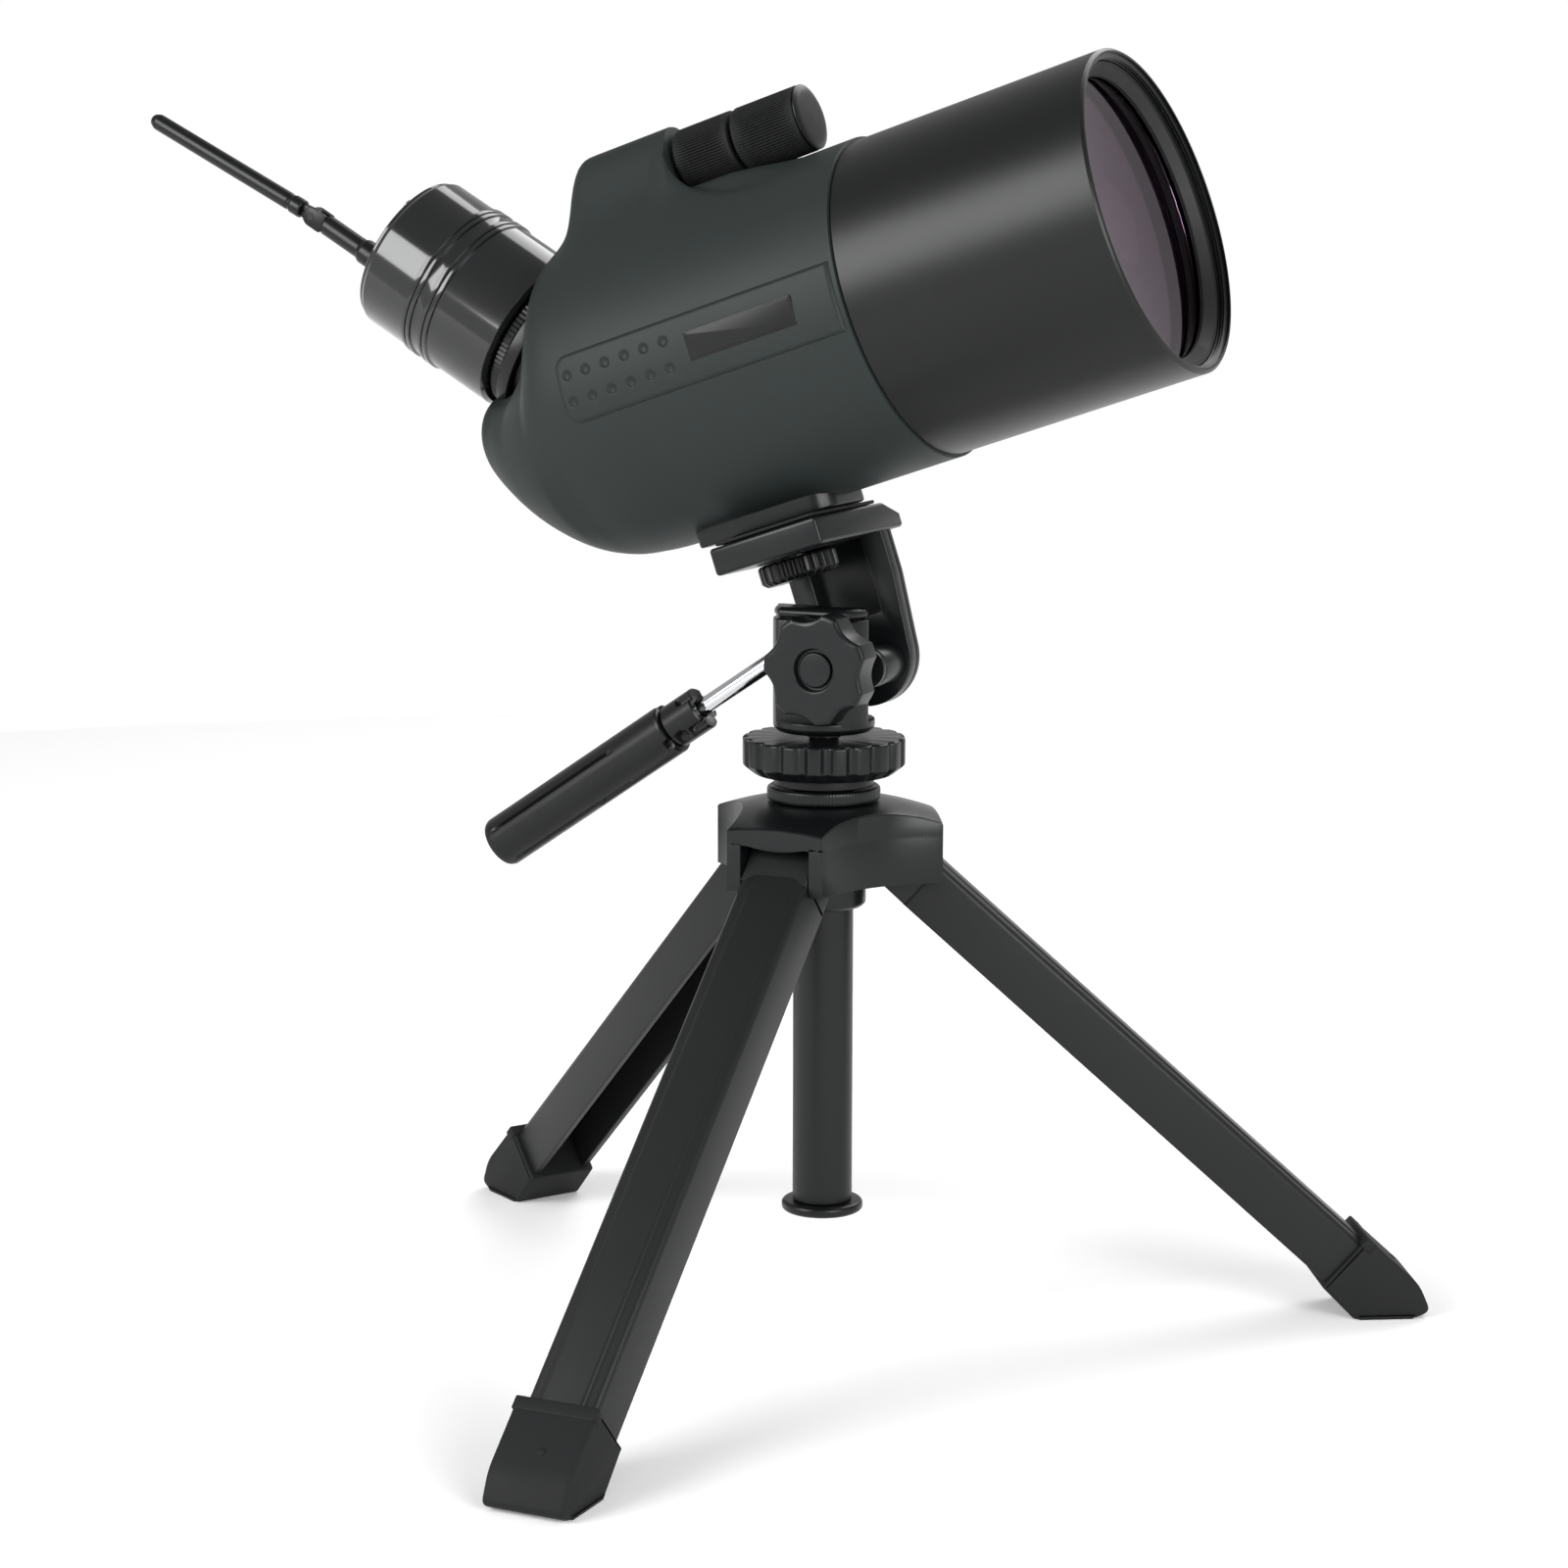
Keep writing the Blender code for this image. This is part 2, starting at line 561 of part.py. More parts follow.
def build_platform(tilt, black, rubber, steel):
    """L-shaped tilt platform, its friction pad, the tilt bolt and the camera screw."""
    half = PLATE_LENGTH / 2
    top = PLATE_TOP
    low = top - PLATE_THICKNESS
    arm_outer = ARM_INNER + ARM_THICKNESS
    plate = block("tilt_platform", (-half, -PLATE_HALF_WIDTH, low),
                  (half, PLATE_HALF_WIDTH, top), tilt, black, soften=0.8)
    outline = [(ARM_TOP_HALF, low + 1), (-ARM_TOP_HALF, low + 1)]
    outline += arc((0, 0), ARM_END_RADIUS, 180, 360, 14)
    arm = prism("arm", outline, ARM_INNER, arm_outer, tilt, None, axis="Y")
    boss = rod("boss", BOSS_RADIUS, HOUSING_BACK + GAP, ARM_INNER + 1, tilt, None, axis="Y")
    join(plate, arm, boss)
    pocket = block("pocket", (-ARM_TOP_HALF + ARM_RIM, ARM_INNER - 1, POCKET_RISE),
                   (ARM_TOP_HALF - ARM_RIM, ARM_INNER + POCKET_DEPTH, low - 0.5), tilt, None)
    bolt_hole = rod("bolt_hole", TILT_BOLT_RADIUS + 0.05, HOUSING_BACK - 1, arm_outer - 2, tilt,
                    None, axis="Y")
    slot = block("slot", (-SCREW_BACK - SCREW_RADIUS - RUN, -SCREW_RADIUS - RUN, low - 1),
                 (-SCREW_BACK + SCREW_RADIUS + RUN, SCREW_RADIUS + RUN, top + 1), tilt, None)
    bevel = prism("bevel", [(PLATE_HALF_WIDTH - 9, top + 0.01),
                            (PLATE_HALF_WIDTH + 1, top + 0.01),
                            (PLATE_HALF_WIDTH + 1, top - 3.6)], -half - 1, half + 1, tilt, None,
                  axis="Y")
    bevel.data.transform(Matrix.Rotation(math.radians(90), 4, "Z"))
    cut(plate, pocket, bolt_hole, slot, bevel)
    bolt_front = HOUSING_FRONT - GAP - STAR_THICKNESS + 4 + GAP
    rod("tilt_bolt", TILT_BOLT_RADIUS, bolt_front, arm_outer - 2 - GAP, tilt, steel, axis="Y")
    pad_low = top + GAP
    pad = block("platform_pad", (-half + 1, -PLATE_HALF_WIDTH + 2, pad_low),
                (half - 1, PLATE_HALF_WIDTH - 11, pad_low + PAD_THICKNESS), tilt, rubber)
    cut(pad, rod("hole", SCREW_RADIUS + 1, pad_low - 1, pad_low + 2, tilt, None,
                 at=(-SCREW_BACK, 0, 0)))
    return low, pad_low + PAD_THICKNESS


def build_camera_screw(tilt, plate_low, pad_top, steel, black):
    """Captive camera screw and its knurled thumb wheel."""
    screw = frame("camera_screw_turn", tilt, (-SCREW_BACK, 0, 0))
    wheel_top = plate_low - GAP
    wheel_low = wheel_top - SCREW_WHEEL_HEIGHT
    rod("camera_screw", SCREW_RADIUS, wheel_low + 1.5, pad_top + SCREW_REACH, screw, steel,
        steps=20)
    outline = wavy_outline(SCREW_WHEEL_RADIUS, 0.7, SCREW_WHEEL_TEETH, 2)
    wheel = prism("camera_screw_wheel", outline, wheel_low, wheel_top, screw, black)
    return cut(wheel, rod("seat", SCREW_RADIUS + 0.05, wheel_low + 1.5 - 0.3, wheel_top + 1,
                          screw, None, steps=20))


# ---- scope ------------------------------------------------------------------------------
def body_top(station):
    """Height of the body's top line, without the focus hump."""
    full = TUBE_RADIUS + BODY_SWELL
    lean = math.tan(math.radians(EYEPIECE_ANGLE))
    plane = PORT_RISE + (PORT_BACK - station) / lean + 1.0
    shoulder = full * between(station / PORT_BACK, [(0, 1), (0.82, 1), (0.86, 0.98),
                                                    (0.895, 0.91), (0.915, 0.78),
                                                    (0.935, 0.66), (0.96, 0.5), (1.0, 0.4)])
    return min(full, max(plane, shoulder))


def hump_share(station):
    """How much of the focus hump's height stands at this station."""
    if station < HUMP_START:
        return 0.0
    end = HUMP_END
    return between(station, [(end - 7.3, 1), (end - 4.2, 0.91), (end - 2, 0.73),
                             (end + 0.2, 0.38), (end + 3.5, 0.08), (end + 7, 0)])


def body_ring(station, shrink, lifted, points=36):
    """One closed section of the body 'station' mm behind the seam, 'shrink' mm inside it."""
    share = station / BODY_LENGTH
    full = TUBE_RADIUS + BODY_SWELL
    low = -full * between(share, [(0, 1), (0.70, 1), (0.76, 0.97), (0.82, 0.88), (0.90, 0.65),
                                  (0.96, 0.42), (1.0, 0.18)])
    half = full * between(share, [(0, 1), (0.62, 1.0), (0.74, 0.95), (0.84, 0.82), (0.92, 0.66),
                                  (0.97, 0.50), (1.0, 0.34)])
    top = max(body_top(station), low + 0.16 * full)
    middle = (top + low) / 2
    tall = max((top - low) / 2 - shrink, 1.0)
    wide = max(half - shrink, 1.0)
    lift = HUMP_HEIGHT * hump_share(station + shrink) if lifted else 0.0
    ring = []
    for i in range(points):
        angle = math.tau * i / points
        away = abs(angle - math.pi / 2) / math.radians(16)
        rise = tall * math.sin(angle) + lift / (1 + away ** 4)
        ring.append((-station, wide * math.cos(angle), middle + rise))
    return ring


def build_body(scope, green, black):
    """Hollow body with the focus hump, the front spigot bore and the eyepiece port."""
    plain = [GAP, HUMP_START - 0.4]
    humped = [HUMP_START, HUMP_END - 7.3, HUMP_END - 4.2, HUMP_END - 2, HUMP_END + 0.2,
              HUMP_END + 3.5, HUMP_END + 7, 97, 99.5, 102, 106, 110, 115, 119, 123, 126.5,
              BODY_LENGTH]
    rings = [body_ring(station, 0.0, False) for station in plain]
    rings += [body_ring(station, 0.0, True) for station in humped]
    body = loft("body_shell", rings, scope, green)
    inner_start = HUMP_START + BODY_WALL
    inner_rings = [[(2, y, z) for _, y, z in body_ring(GAP, BODY_WALL, False, 20)]]
    inner_rings += [body_ring(station, BODY_WALL, False, 20) for station in
                    (inner_start - 0.4,)]
    inner_rings += [body_ring(station, BODY_WALL, True, 20) for station in
                    (inner_start, HUMP_END - 9.9, HUMP_END - 4.6, HUMP_END + 0.9, HUMP_END + 4.4,
                     99, 106, 112, 118)]
    inner = loft("inner", inner_rings, scope, None)
    port = port_matrix()
    bore_frame = frame("port_bore_frame", scope, (-PORT_BACK, 0, PORT_RISE), port)
    bore = rod("port_bore", BARREL_RADIUS + 2.6 + GAP, -24, 14, bore_frame, None)
    flat = rod("port_flat", CAMERA_RADIUS + 0.8, 0.0, 30, bore_frame, None)
    rise = wheel_axis_rise()
    shaft_hole = rod("shaft_hole", SPINDLE_RADIUS + RUN, -HUMP_START - 8, -HUMP_START + 4,
                     scope, None, at=(0, 0, rise), axis="X", steps=16)
    front_room = TUBE_RADIUS - TUBE_WALL + 1.1
    spigot = rod("spigot", front_room, -8, 2, scope, None, axis="X", steps=44)
    plates = []
    for side in (-1, 1):
        face = side * (TUBE_RADIUS + BODY_SWELL)
        low = (-NAME_PLATE_BACK - NAME_PLATE_LENGTH / 2 - GAP, face - 1.2,
               NAME_PLATE_RISE - NAME_PLATE_HEIGHT / 2 - GAP)
        high = (-NAME_PLATE_BACK + NAME_PLATE_LENGTH / 2 + GAP, face + 1.2,
                NAME_PLATE_RISE + NAME_PLATE_HEIGHT / 2 + GAP)
        plates.append(block("plate_recess", low, high, scope, None))
    foot_top = -(TUBE_RADIUS + BODY_SWELL) + BODY_WALL + 2.4
    foot_room = block("foot_room", (-FOOT_SCREW_BACK - FOOT_LENGTH / 2 - GAP,
                                    -FOOT_HALF_WIDTH - GAP, foot_top - 10),
                      (-FOOT_SCREW_BACK + FOOT_LENGTH / 2 + GAP, FOOT_HALF_WIDTH + GAP,
                       foot_top), scope, None)
    cut(body, inner, bore, flat, shaft_hole, spigot, foot_room, *plates)
    for step in body.modifiers:
        step.solver = "MANIFOLD"
    for side, name in ((-1, "name_plate_left"), (1, "name_plate_right")):
        face = side * (TUBE_RADIUS + BODY_SWELL - 1.2 + GAP)
        outer = face + side * NAME_PLATE_THICKNESS
        block(name, (-NAME_PLATE_BACK - NAME_PLATE_LENGTH / 2, min(face, outer),
                     NAME_PLATE_RISE - NAME_PLATE_HEIGHT / 2),
              (-NAME_PLATE_BACK + NAME_PLATE_LENGTH / 2, max(face, outer),
               NAME_PLATE_RISE + NAME_PLATE_HEIGHT / 2), scope, black)
    return foot_top - GAP


def port_matrix():
    """Turn that lays local Z along the eyepiece axis, leaning back from the optical axis."""
    return Matrix.Rotation(math.radians(-(90 - EYEPIECE_ANGLE)), 3, "Y")


def wheel_axis_rise():
    """Height of the focus wheels' axis above the optical axis."""
    return TUBE_RADIUS + BODY_SWELL + WHEEL_RADIUS + 0.8


def build_foot_block(scope, foot_top, dark, brass):
    """Mounting foot under the body, with its threaded bush."""
    low = -(TUBE_RADIUS + FOOT_DEPTH)
    back = -FOOT_SCREW_BACK - FOOT_LENGTH / 2
    front = -FOOT_SCREW_BACK + FOOT_LENGTH / 2
    foot = block("mount_foot", (back, -FOOT_HALF_WIDTH, low), (front, FOOT_HALF_WIDTH,
                 foot_top), scope, dark, soften=0.6)
    cut(foot, rod("bush_hole", BUSH_RADIUS + 0.05, low - 1, foot_top + 1, scope, None,
                  at=(-FOOT_SCREW_BACK, 0, 0), steps=24))
    pipe("foot_bush", SCREW_RADIUS + RUN, BUSH_RADIUS, low, foot_top - 0.2, scope, brass,
         at=(-FOOT_SCREW_BACK, 0, 0), steps=24)
    return low


def build_front(scope, black, dark, glass):
    """Front tube, corrector lens, retaining ring and the secondary baffle."""
    outer = TUBE_RADIUS
    inner = TUBE_RADIUS - TUBE_WALL
    front = TUBE_LENGTH
    lens_face = front - LENS_SETBACK
    seat = lens_face - LENS_THICKNESS - 0.6
    profile = [(inner - 2.0, -6), (inner, -6), (inner, -GAP), (outer - 0.4, -GAP),
               (outer, 0.4 - GAP), (outer, front - 0.8), (outer - 0.8, front),
               (outer - 2.0, front), (outer - 2.4, front - 0.6), (inner, front - 2.6),
               (inner, seat), (APERTURE_RADIUS, seat), (APERTURE_RADIUS, seat - 2.4),
               (inner - 2.0, seat - 5.0)]
    turned("front_tube", profile, scope, black, axis="X", steps=40)
    lens_radius = inner - GAP
    sag = 2.2
    lens_profile = [(0, lens_face - LENS_THICKNESS - sag), (lens_radius * 0.5,
                    lens_face - LENS_THICKNESS - sag * 0.75), (APERTURE_RADIUS,
                    lens_face - LENS_THICKNESS), (lens_radius, lens_face - LENS_THICKNESS),
                    (lens_radius, lens_face), (APERTURE_RADIUS, lens_face),
                    (lens_radius * 0.5, lens_face - sag * 0.75), (0, lens_face - sag)]
    turned("corrector_lens", lens_profile, scope, glass, axis="X", steps=28)
    ring_low = lens_face + GAP
    ring = [(APERTURE_RADIUS, ring_low), (inner - GAP, ring_low), (inner - GAP, front - 3.0),
            (inner - 1.6, front - 3.0), (inner - 2.2, front - 4.2), (APERTURE_RADIUS,
             ring_low + 0.8)]
    turned("lens_retaining_ring", ring, scope, dark, axis="X", steps=36)
    back = lens_face - LENS_THICKNESS - sag - GAP
    cup = [(0, back), (SECONDARY_RADIUS, back - 0.3), (SECONDARY_RADIUS, back - 12),
           (SECONDARY_RADIUS - 1.2, back - 12), (SECONDARY_RADIUS - 1.2, back - 1.8),
           (0, back - 1.8)]
    turned("secondary_baffle", cup, scope, dark, axis="X", steps=20)


def build_mirror(scope, dark, mirror, glass, steel):
    """Primary mirror on its sliding carrier, the light baffle tube and the prism."""
    slide = frame("mirror_slide", scope, (0, 0, 0))
    back = -MIRROR_BACK
    inner = BAFFLE_RADIUS + 2.4 + GAP
    sag = 2.6
    face = back + MIRROR_THICKNESS
    profile = [(inner, back), (MIRROR_RADIUS, back), (MIRROR_RADIUS, face + sag),
               (MIRROR_RADIUS * 0.7, face + sag * 0.5), (inner, face)]
    turned("primary_mirror", profile, slide, mirror, axis="X", steps=24)
    carrier_profile = [(BAFFLE_RADIUS + RUN, back - 4), (MIRROR_RADIUS - 1, back - 4),
                       (MIRROR_RADIUS - 1, back - GAP), (inner - GAP, back - GAP),
                       (inner - GAP, face + 4), (BAFFLE_RADIUS + RUN, face + 4)]
    carrier = turned("mirror_carrier", carrier_profile, slide, dark, axis="X", steps=24)
    rise = wheel_axis_rise()
    lug = block("lug", (back - 4, -3.1, MIRROR_RADIUS - 4), (back - 1, 3.1, rise + 3.4), slide,
                None)
    join(carrier, lug)
    cut(carrier, rod("nut_bore", SPINDLE_RADIUS + RUN, back - 8, back + 4, slide, None,
                     at=(0, 0, rise), axis="X", steps=16))
    tube_back = back - 4 - MIRROR_TRAVEL - 5.5
    bulkhead = TUBE_RADIUS + BODY_SWELL - BODY_WALL - GAP * 1.5
    tube = [(BAFFLE_RADIUS - 1.2, tube_back), (bulkhead, tube_back),
            (bulkhead, tube_back + 2), (BAFFLE_RADIUS, tube_back + 2),
            (BAFFLE_RADIUS, tube_back + BAFFLE_LENGTH),
            (BAFFLE_RADIUS - 1.2, tube_back + BAFFLE_LENGTH)]
    turned("light_baffle", tube, scope, dark, axis="X", steps=20)
    centre = -PORT_BACK + PORT_RISE / math.tan(math.radians(EYEPIECE_ANGLE))
    size = 9.5
    bend = math.radians(EYEPIECE_ANGLE)
    exit_line = Vector((-math.cos(bend), math.sin(bend)))
    corner = Vector((centre, 0))
    side = Vector((exit_line.y, -exit_line.x))
    outline = [corner + Vector((size, -size)), corner + Vector((size, size)),
               corner + exit_line * size + side * size * 0.6,
               corner + exit_line * size - side * size,
               corner + Vector((-size * 1.5, -size * 0.6))]
    prism("erecting_prism", [(p.x, p.y) for p in outline], -size, size, scope, glass, axis="Y",
          smooth=False)
    cage_top = -size * 1.15
    cage_low = -0.78 * (TUBE_RADIUS + BODY_SWELL)
    block("prism_cage", (centre - 12.0, -size, cage_low), (centre + 10.0, size, cage_top),
          scope, dark)
    return slide


def build_focus(scope, black, dark, steel):
    """Coarse and fine focus wheels in line on the drive spindle."""
    rise = wheel_axis_rise()
    coarse = frame("coarse_focus_turn", scope, (0, 0, rise))
    fine = frame("fine_focus_turn", scope, (0, 0, rise))
    coarse_back = -HUMP_START + WHEEL_START
    coarse_front = coarse_back + COARSE_LENGTH
    spindle_back = -MIRROR_BACK - MIRROR_TRAVEL - 12
    fine_back = coarse_front + 1.0
    fine_front = fine_back + FINE_LENGTH
    spindle_front = fine_back + FINE_LENGTH / 2
    rod("focus_spindle", SPINDLE_RADIUS, spindle_back, spindle_front, coarse, steel,
        axis="X", steps=16)
    outline = wavy_outline(WHEEL_RADIUS, 0.35, 24, 2)
    wheel = prism("coarse_focus_wheel", outline, coarse_back, coarse_front, coarse, black)
    wheel.data.transform(AXES["X"])
    cut(wheel, rod("seat", SPINDLE_RADIUS + 0.05, coarse_back - 1, coarse_front + 1, coarse,
                   None, axis="X", steps=16))
    knob = prism("fine_focus_wheel", outline, fine_back, fine_front - 1.4, fine, black)
    knob.data.transform(AXES["X"])
    cut(knob, rod("socket", 5.0, fine_front - 5, fine_front, fine, None, axis="X", steps=24),
        rod("bore", SPINDLE_RADIUS + RUN, fine_back - 1, spindle_front + GAP, fine, None,
            axis="X", steps=16))
    cap = [(0, fine_front - 4.6), (4.7, fine_front - 4.6), (4.7, fine_front - 1.4 + GAP),
           (WHEEL_RADIUS - 0.1, fine_front - 1.4 + GAP), (WHEEL_RADIUS - 0.1, fine_front - 0.7),
           (WHEEL_RADIUS - 0.8, fine_front), (0, fine_front)]
    turned("focus_end_cap", cap, fine, dark, axis="X", steps=24)
    return coarse, fine


# ---- eyepiece camera --------------------------------------------------------------------
def build_port(port, black, dark):
    """Fixed eyepiece collar that the camera's barrel turns in."""
    inner = BARREL_RADIUS + RUN
    sleeve = BARREL_RADIUS + 2.6
    profile = [(inner, -BARREL_DEPTH - 2), (sleeve, -BARREL_DEPTH - 2), (sleeve, GAP),
               (COLLAR_PORT_RADIUS, GAP), (COLLAR_PORT_RADIUS, COLLAR_PORT_HEIGHT),
               (inner, COLLAR_PORT_HEIGHT)]
    turned("eyepiece_collar", profile, port, black, steps=28)


def build_camera(port, gloss, dark, glass, steel, green):
    """Eyepiece camera: shell, barrel, lens, circuit board, battery and rear cover."""
    turn = frame("camera_turn", port, (0, 0, 0))
    low = CAMERA_FRONT
    high = CAMERA_FRONT + CAMERA_LENGTH
    outer = CAMERA_RADIUS
    inner = CAMERA_RADIUS - CAMERA_WALL
    shell = [(inner, low + 2.4), (inner - 4.0, low + 2.4), (inner - 4.0, low),
             (outer - 1.0, low), (outer, low + 1.0)]
    for band in (28.3, 34.3):
        shell += [(outer, band - 0.4), (outer + RIDGE_HEIGHT, band),
                  (outer + RIDGE_HEIGHT, band + 3.0), (outer, band + 3.4)]
    shell += [(outer, high - 2.2), (outer - 0.9, high - 1.0), (outer - 0.9, high - 0.2),
              (inner - 0.0, high - 0.2)]
    turned("camera_shell", shell, turn, gloss, steps=32)
    bore = BARREL_RADIUS - 2.0
    nose = [(bore, -BARREL_DEPTH), (BARREL_RADIUS, -BARREL_DEPTH),
            (BARREL_RADIUS, COLLAR_PORT_HEIGHT + GAP),
            (COLLAR_PORT_RADIUS - 1.2, COLLAR_PORT_HEIGHT + GAP),
            (COLLAR_PORT_RADIUS - 1.2, low - GAP), (inner - 4.0 - GAP, low - GAP),
            (inner - 4.0 - GAP, low + 5.0), (bore, low + 5.0)]
    turned("camera_barrel", nose, turn, dark, steps=28)
    lens = [(0, -4.0), (bore * 0.6, -3.4), (bore - GAP, -2.0), (bore - GAP, 1.0),
            (bore * 0.6, 2.4), (0, 3.0)]
    turned("camera_lens", lens, turn, glass, steps=20)
    board_low = low + 12.0
    board = rod("sensor_board", inner - GAP, board_low, board_low + 1.6, turn, green, steps=28)
    sensor = block("sensor", (-3.5, -3.5, board_low - 1.4), (3.5, 3.5, board_low + 0.4), turn,
                   None)
    join(board, sensor)
    block("battery", (-15, -11, board_low + 4), (15, 11, high - 8), turn, steel, soften=1.0)
    cover = rod("camera_rear_cover", inner - GAP, high - 3.0, high, turn, dark, steps=40)
    button = button_place(high)
    antenna = antenna_place(high)
    cut(cover, rod("button_hole", BUTTON_RADIUS + RUN, -4, 4, turn, None, at=button, steps=20),
        rod("antenna_hole", 2.0 + RUN, -4, 4, turn, None, at=antenna, steps=16))
    return turn, high


def button_place(high):
    """Centre of the power button on the rear cover."""
    angle = math.radians(52)
    return (BUTTON_OFFSET * math.sin(angle), -BUTTON_OFFSET * math.cos(angle), high)


def antenna_place(high):
    """Centre of the antenna socket on the rear cover."""
    return (-ANTENNA_DROP, 0, high)


def build_button(turn, high, steel):
    """Power button that presses into the rear cover."""
    press = frame("power_button_press", turn, button_place(high))
    profile = [(0, -5.4), (BUTTON_RADIUS + 0.8, -5.4), (BUTTON_RADIUS + 0.8, -4.2),
               (BUTTON_RADIUS, -4.2), (BUTTON_RADIUS, 1.2), (BUTTON_RADIUS - 0.4, 1.6),
               (0, 1.6)]
    turned("power_button", profile, press, steel, steps=20)


def build_antenna(turn, high, black, dark, brass):
    """Antenna with its swivelling base and folding rod."""
    swivel = frame("antenna_swivel", turn, antenna_place(high))
    base = [(0, -5.0), (2.0, -5.0), (2.0, GAP), (ANTENNA_BASE_RADIUS, GAP),
            (ANTENNA_BASE_RADIUS, 13.0), (ANTENNA_BASE_RADIUS - 0.7, 13.8),
            (ANTENNA_BASE_RADIUS - 0.7, ANTENNA_BASE_LENGTH), (0, ANTENNA_BASE_LENGTH)]
    socket = turned("antenna_base", base, swivel, black, steps=24)
    cheek = ANTENNA_BASE_RADIUS - 0.9
    fork = block("fork", (-cheek, -2.4, ANTENNA_BASE_LENGTH - 1),
                 (cheek, 2.4, ANTENNA_BASE_LENGTH + 5.0), swivel, None)
    join(socket, fork)
    tongue = 1.2
    cut(socket, block("fork_slot", (-cheek - 3, -tongue - GAP, ANTENNA_BASE_LENGTH - 3.2),
                      (cheek + 3, tongue + GAP, ANTENNA_BASE_LENGTH + 8), swivel, None))
    knuckle = ANTENNA_BASE_LENGTH + 2.4
    fold = frame("antenna_fold", swivel, (0, 0, knuckle),
                 Matrix.Rotation(math.radians(-ANTENNA_DROOP), 3, "Y"))
    rod("antenna_pin", 0.7, -2.3, 2.3, swivel, brass, at=(0, 0, knuckle), axis="Y", steps=12)
    cut(socket, rod("pin_hole", 0.75, -4, 4, swivel, None, at=(0, 0, knuckle), axis="Y",
                    steps=12))
    stem = [(0, 4.4), (ANTENNA_RADIUS + 0.2, 4.4), (ANTENNA_RADIUS + 0.2, 8.0),
            (ANTENNA_RADIUS, 9.0), (ANTENNA_RADIUS, ANTENNA_LENGTH - 1.6),
            (ANTENNA_RADIUS * 0.6, ANTENNA_LENGTH - 0.3), (0, ANTENNA_LENGTH)]
    whip = turned("antenna_rod", stem, fold, black, steps=20)
    blade = prism("tongue", [(-1.6, 6.0)] + arc((0, 0), 2.2, 180, 360, 8) + [(1.6, 6.0)],
                  -tongue, tongue, fold, None, axis="Y")
    join(whip, blade)
    cut(whip, rod("pin_clear", 0.7 + RUN, -4, 4, fold, None, axis="Y", steps=12))


# ---- assembly ---------------------------------------------------------------------------
def settle_on_origin(root):
    """Put the origin under the middle of the whole object, at its lowest point."""
    bpy.context.view_layer.update()
    depsgraph = bpy.context.evaluated_depsgraph_get()
    low = Vector((1e9, 1e9, 1e9))
    high = -low
    for item in bpy.context.scene.objects:
        if item.type != "MESH" or item.hide_render:
            continue
        ready = item.evaluated_get(depsgraph)
        for vertex in ready.data.vertices:
            place = ready.matrix_world @ vertex.co
            low = Vector(map(min, low, place))
            high = Vector(map(max, high, place))
    root.location = (-(low.x + high.x) / 2, -(low.y + high.y) / 2, -low.z)


def main():
    """Clear the scene and build every piece."""
    for item in list(bpy.data.objects):
        bpy.data.objects.remove(item, do_unlink=True)
    green = material("green_rubber_armour", (0.045, 0.058, 0.055), 0.62)
    black = material("black_abs", (0.022, 0.023, 0.025), 0.42)
    satin = material("satin_black_anodised", (0.020, 0.020, 0.022), 0.38, 0.6)
    gloss = material("gloss_black_anodised", (0.018, 0.018, 0.020), 0.16, 0.8)
    leg_paint = material("black_leg_paint", (0.036, 0.037, 0.039), 0.5)
    rubber = material("black_rubber", (0.028, 0.028, 0.029), 0.8)
    steel = material("bright_steel", (0.62, 0.62, 0.63), 0.25, 1.0)
    chrome = material("chrome", (0.75, 0.75, 0.76), 0.08, 1.0)
    brass = material("brass", (0.66, 0.48, 0.20), 0.3, 1.0)
    glass = material("coated_glass", (0.10, 0.05, 0.09), 0.05)
    mirror = material("silvered_glass", (0.80, 0.80, 0.82), 0.05, 1.0)
    board = material("circuit_board", (0.02, 0.12, 0.05), 0.5)

    root = frame("root_frame", None, (0, 0, 0))
    crown = leg_stand_height() + HUB_PIN_DROP
    build_hub(root, crown, black)
    for number in (1, 2, 3):
        build_leg(number, root, crown, leg_paint, rubber, steel)
    column, wheel_low = build_column(root, crown, black, satin)
    build_collar(root, crown, black)
    build_pan_wheel(column, wheel_low, black)
    housing_low = wheel_low + PAN_WHEEL_HEIGHT + 1.4
    pan, handle, axis_height, _ = build_housing(column, housing_low, black, chrome)
    build_grip(handle, black)
    build_star_knob(pan, axis_height, black)

    tilt = frame("tilt_turn", pan, (TILT_AXIS_FORWARD, 0, axis_height), pitched(SCOPE_PITCH))
    plate_low, pad_top = build_platform(tilt, black, rubber, steel)
    build_camera_screw(tilt, plate_low, pad_top, steel, black)
    seam_forward = FOOT_SCREW_BACK - SCREW_BACK
    axis_rise = pad_top + GAP + TUBE_RADIUS + FOOT_DEPTH
    scope = frame("scope_frame", tilt, (seam_forward, 0, axis_rise))
    foot_top = build_body(scope, green, black)
    build_foot_block(scope, foot_top, leg_paint, brass)
    build_front(scope, satin, black, glass)
    build_mirror(scope, black, mirror, glass, steel)
    build_focus(scope, rubber, black, steel)

    port = frame("port_frame", scope, (-PORT_BACK, 0, PORT_RISE), port_matrix())
    build_port(port, black, black)
    camera, camera_top = build_camera(port, gloss, black, glass, steel, board)
    build_button(camera, camera_top, steel)
    build_antenna(camera, camera_top, black, black, brass)
    settle_on_origin(root)


main()
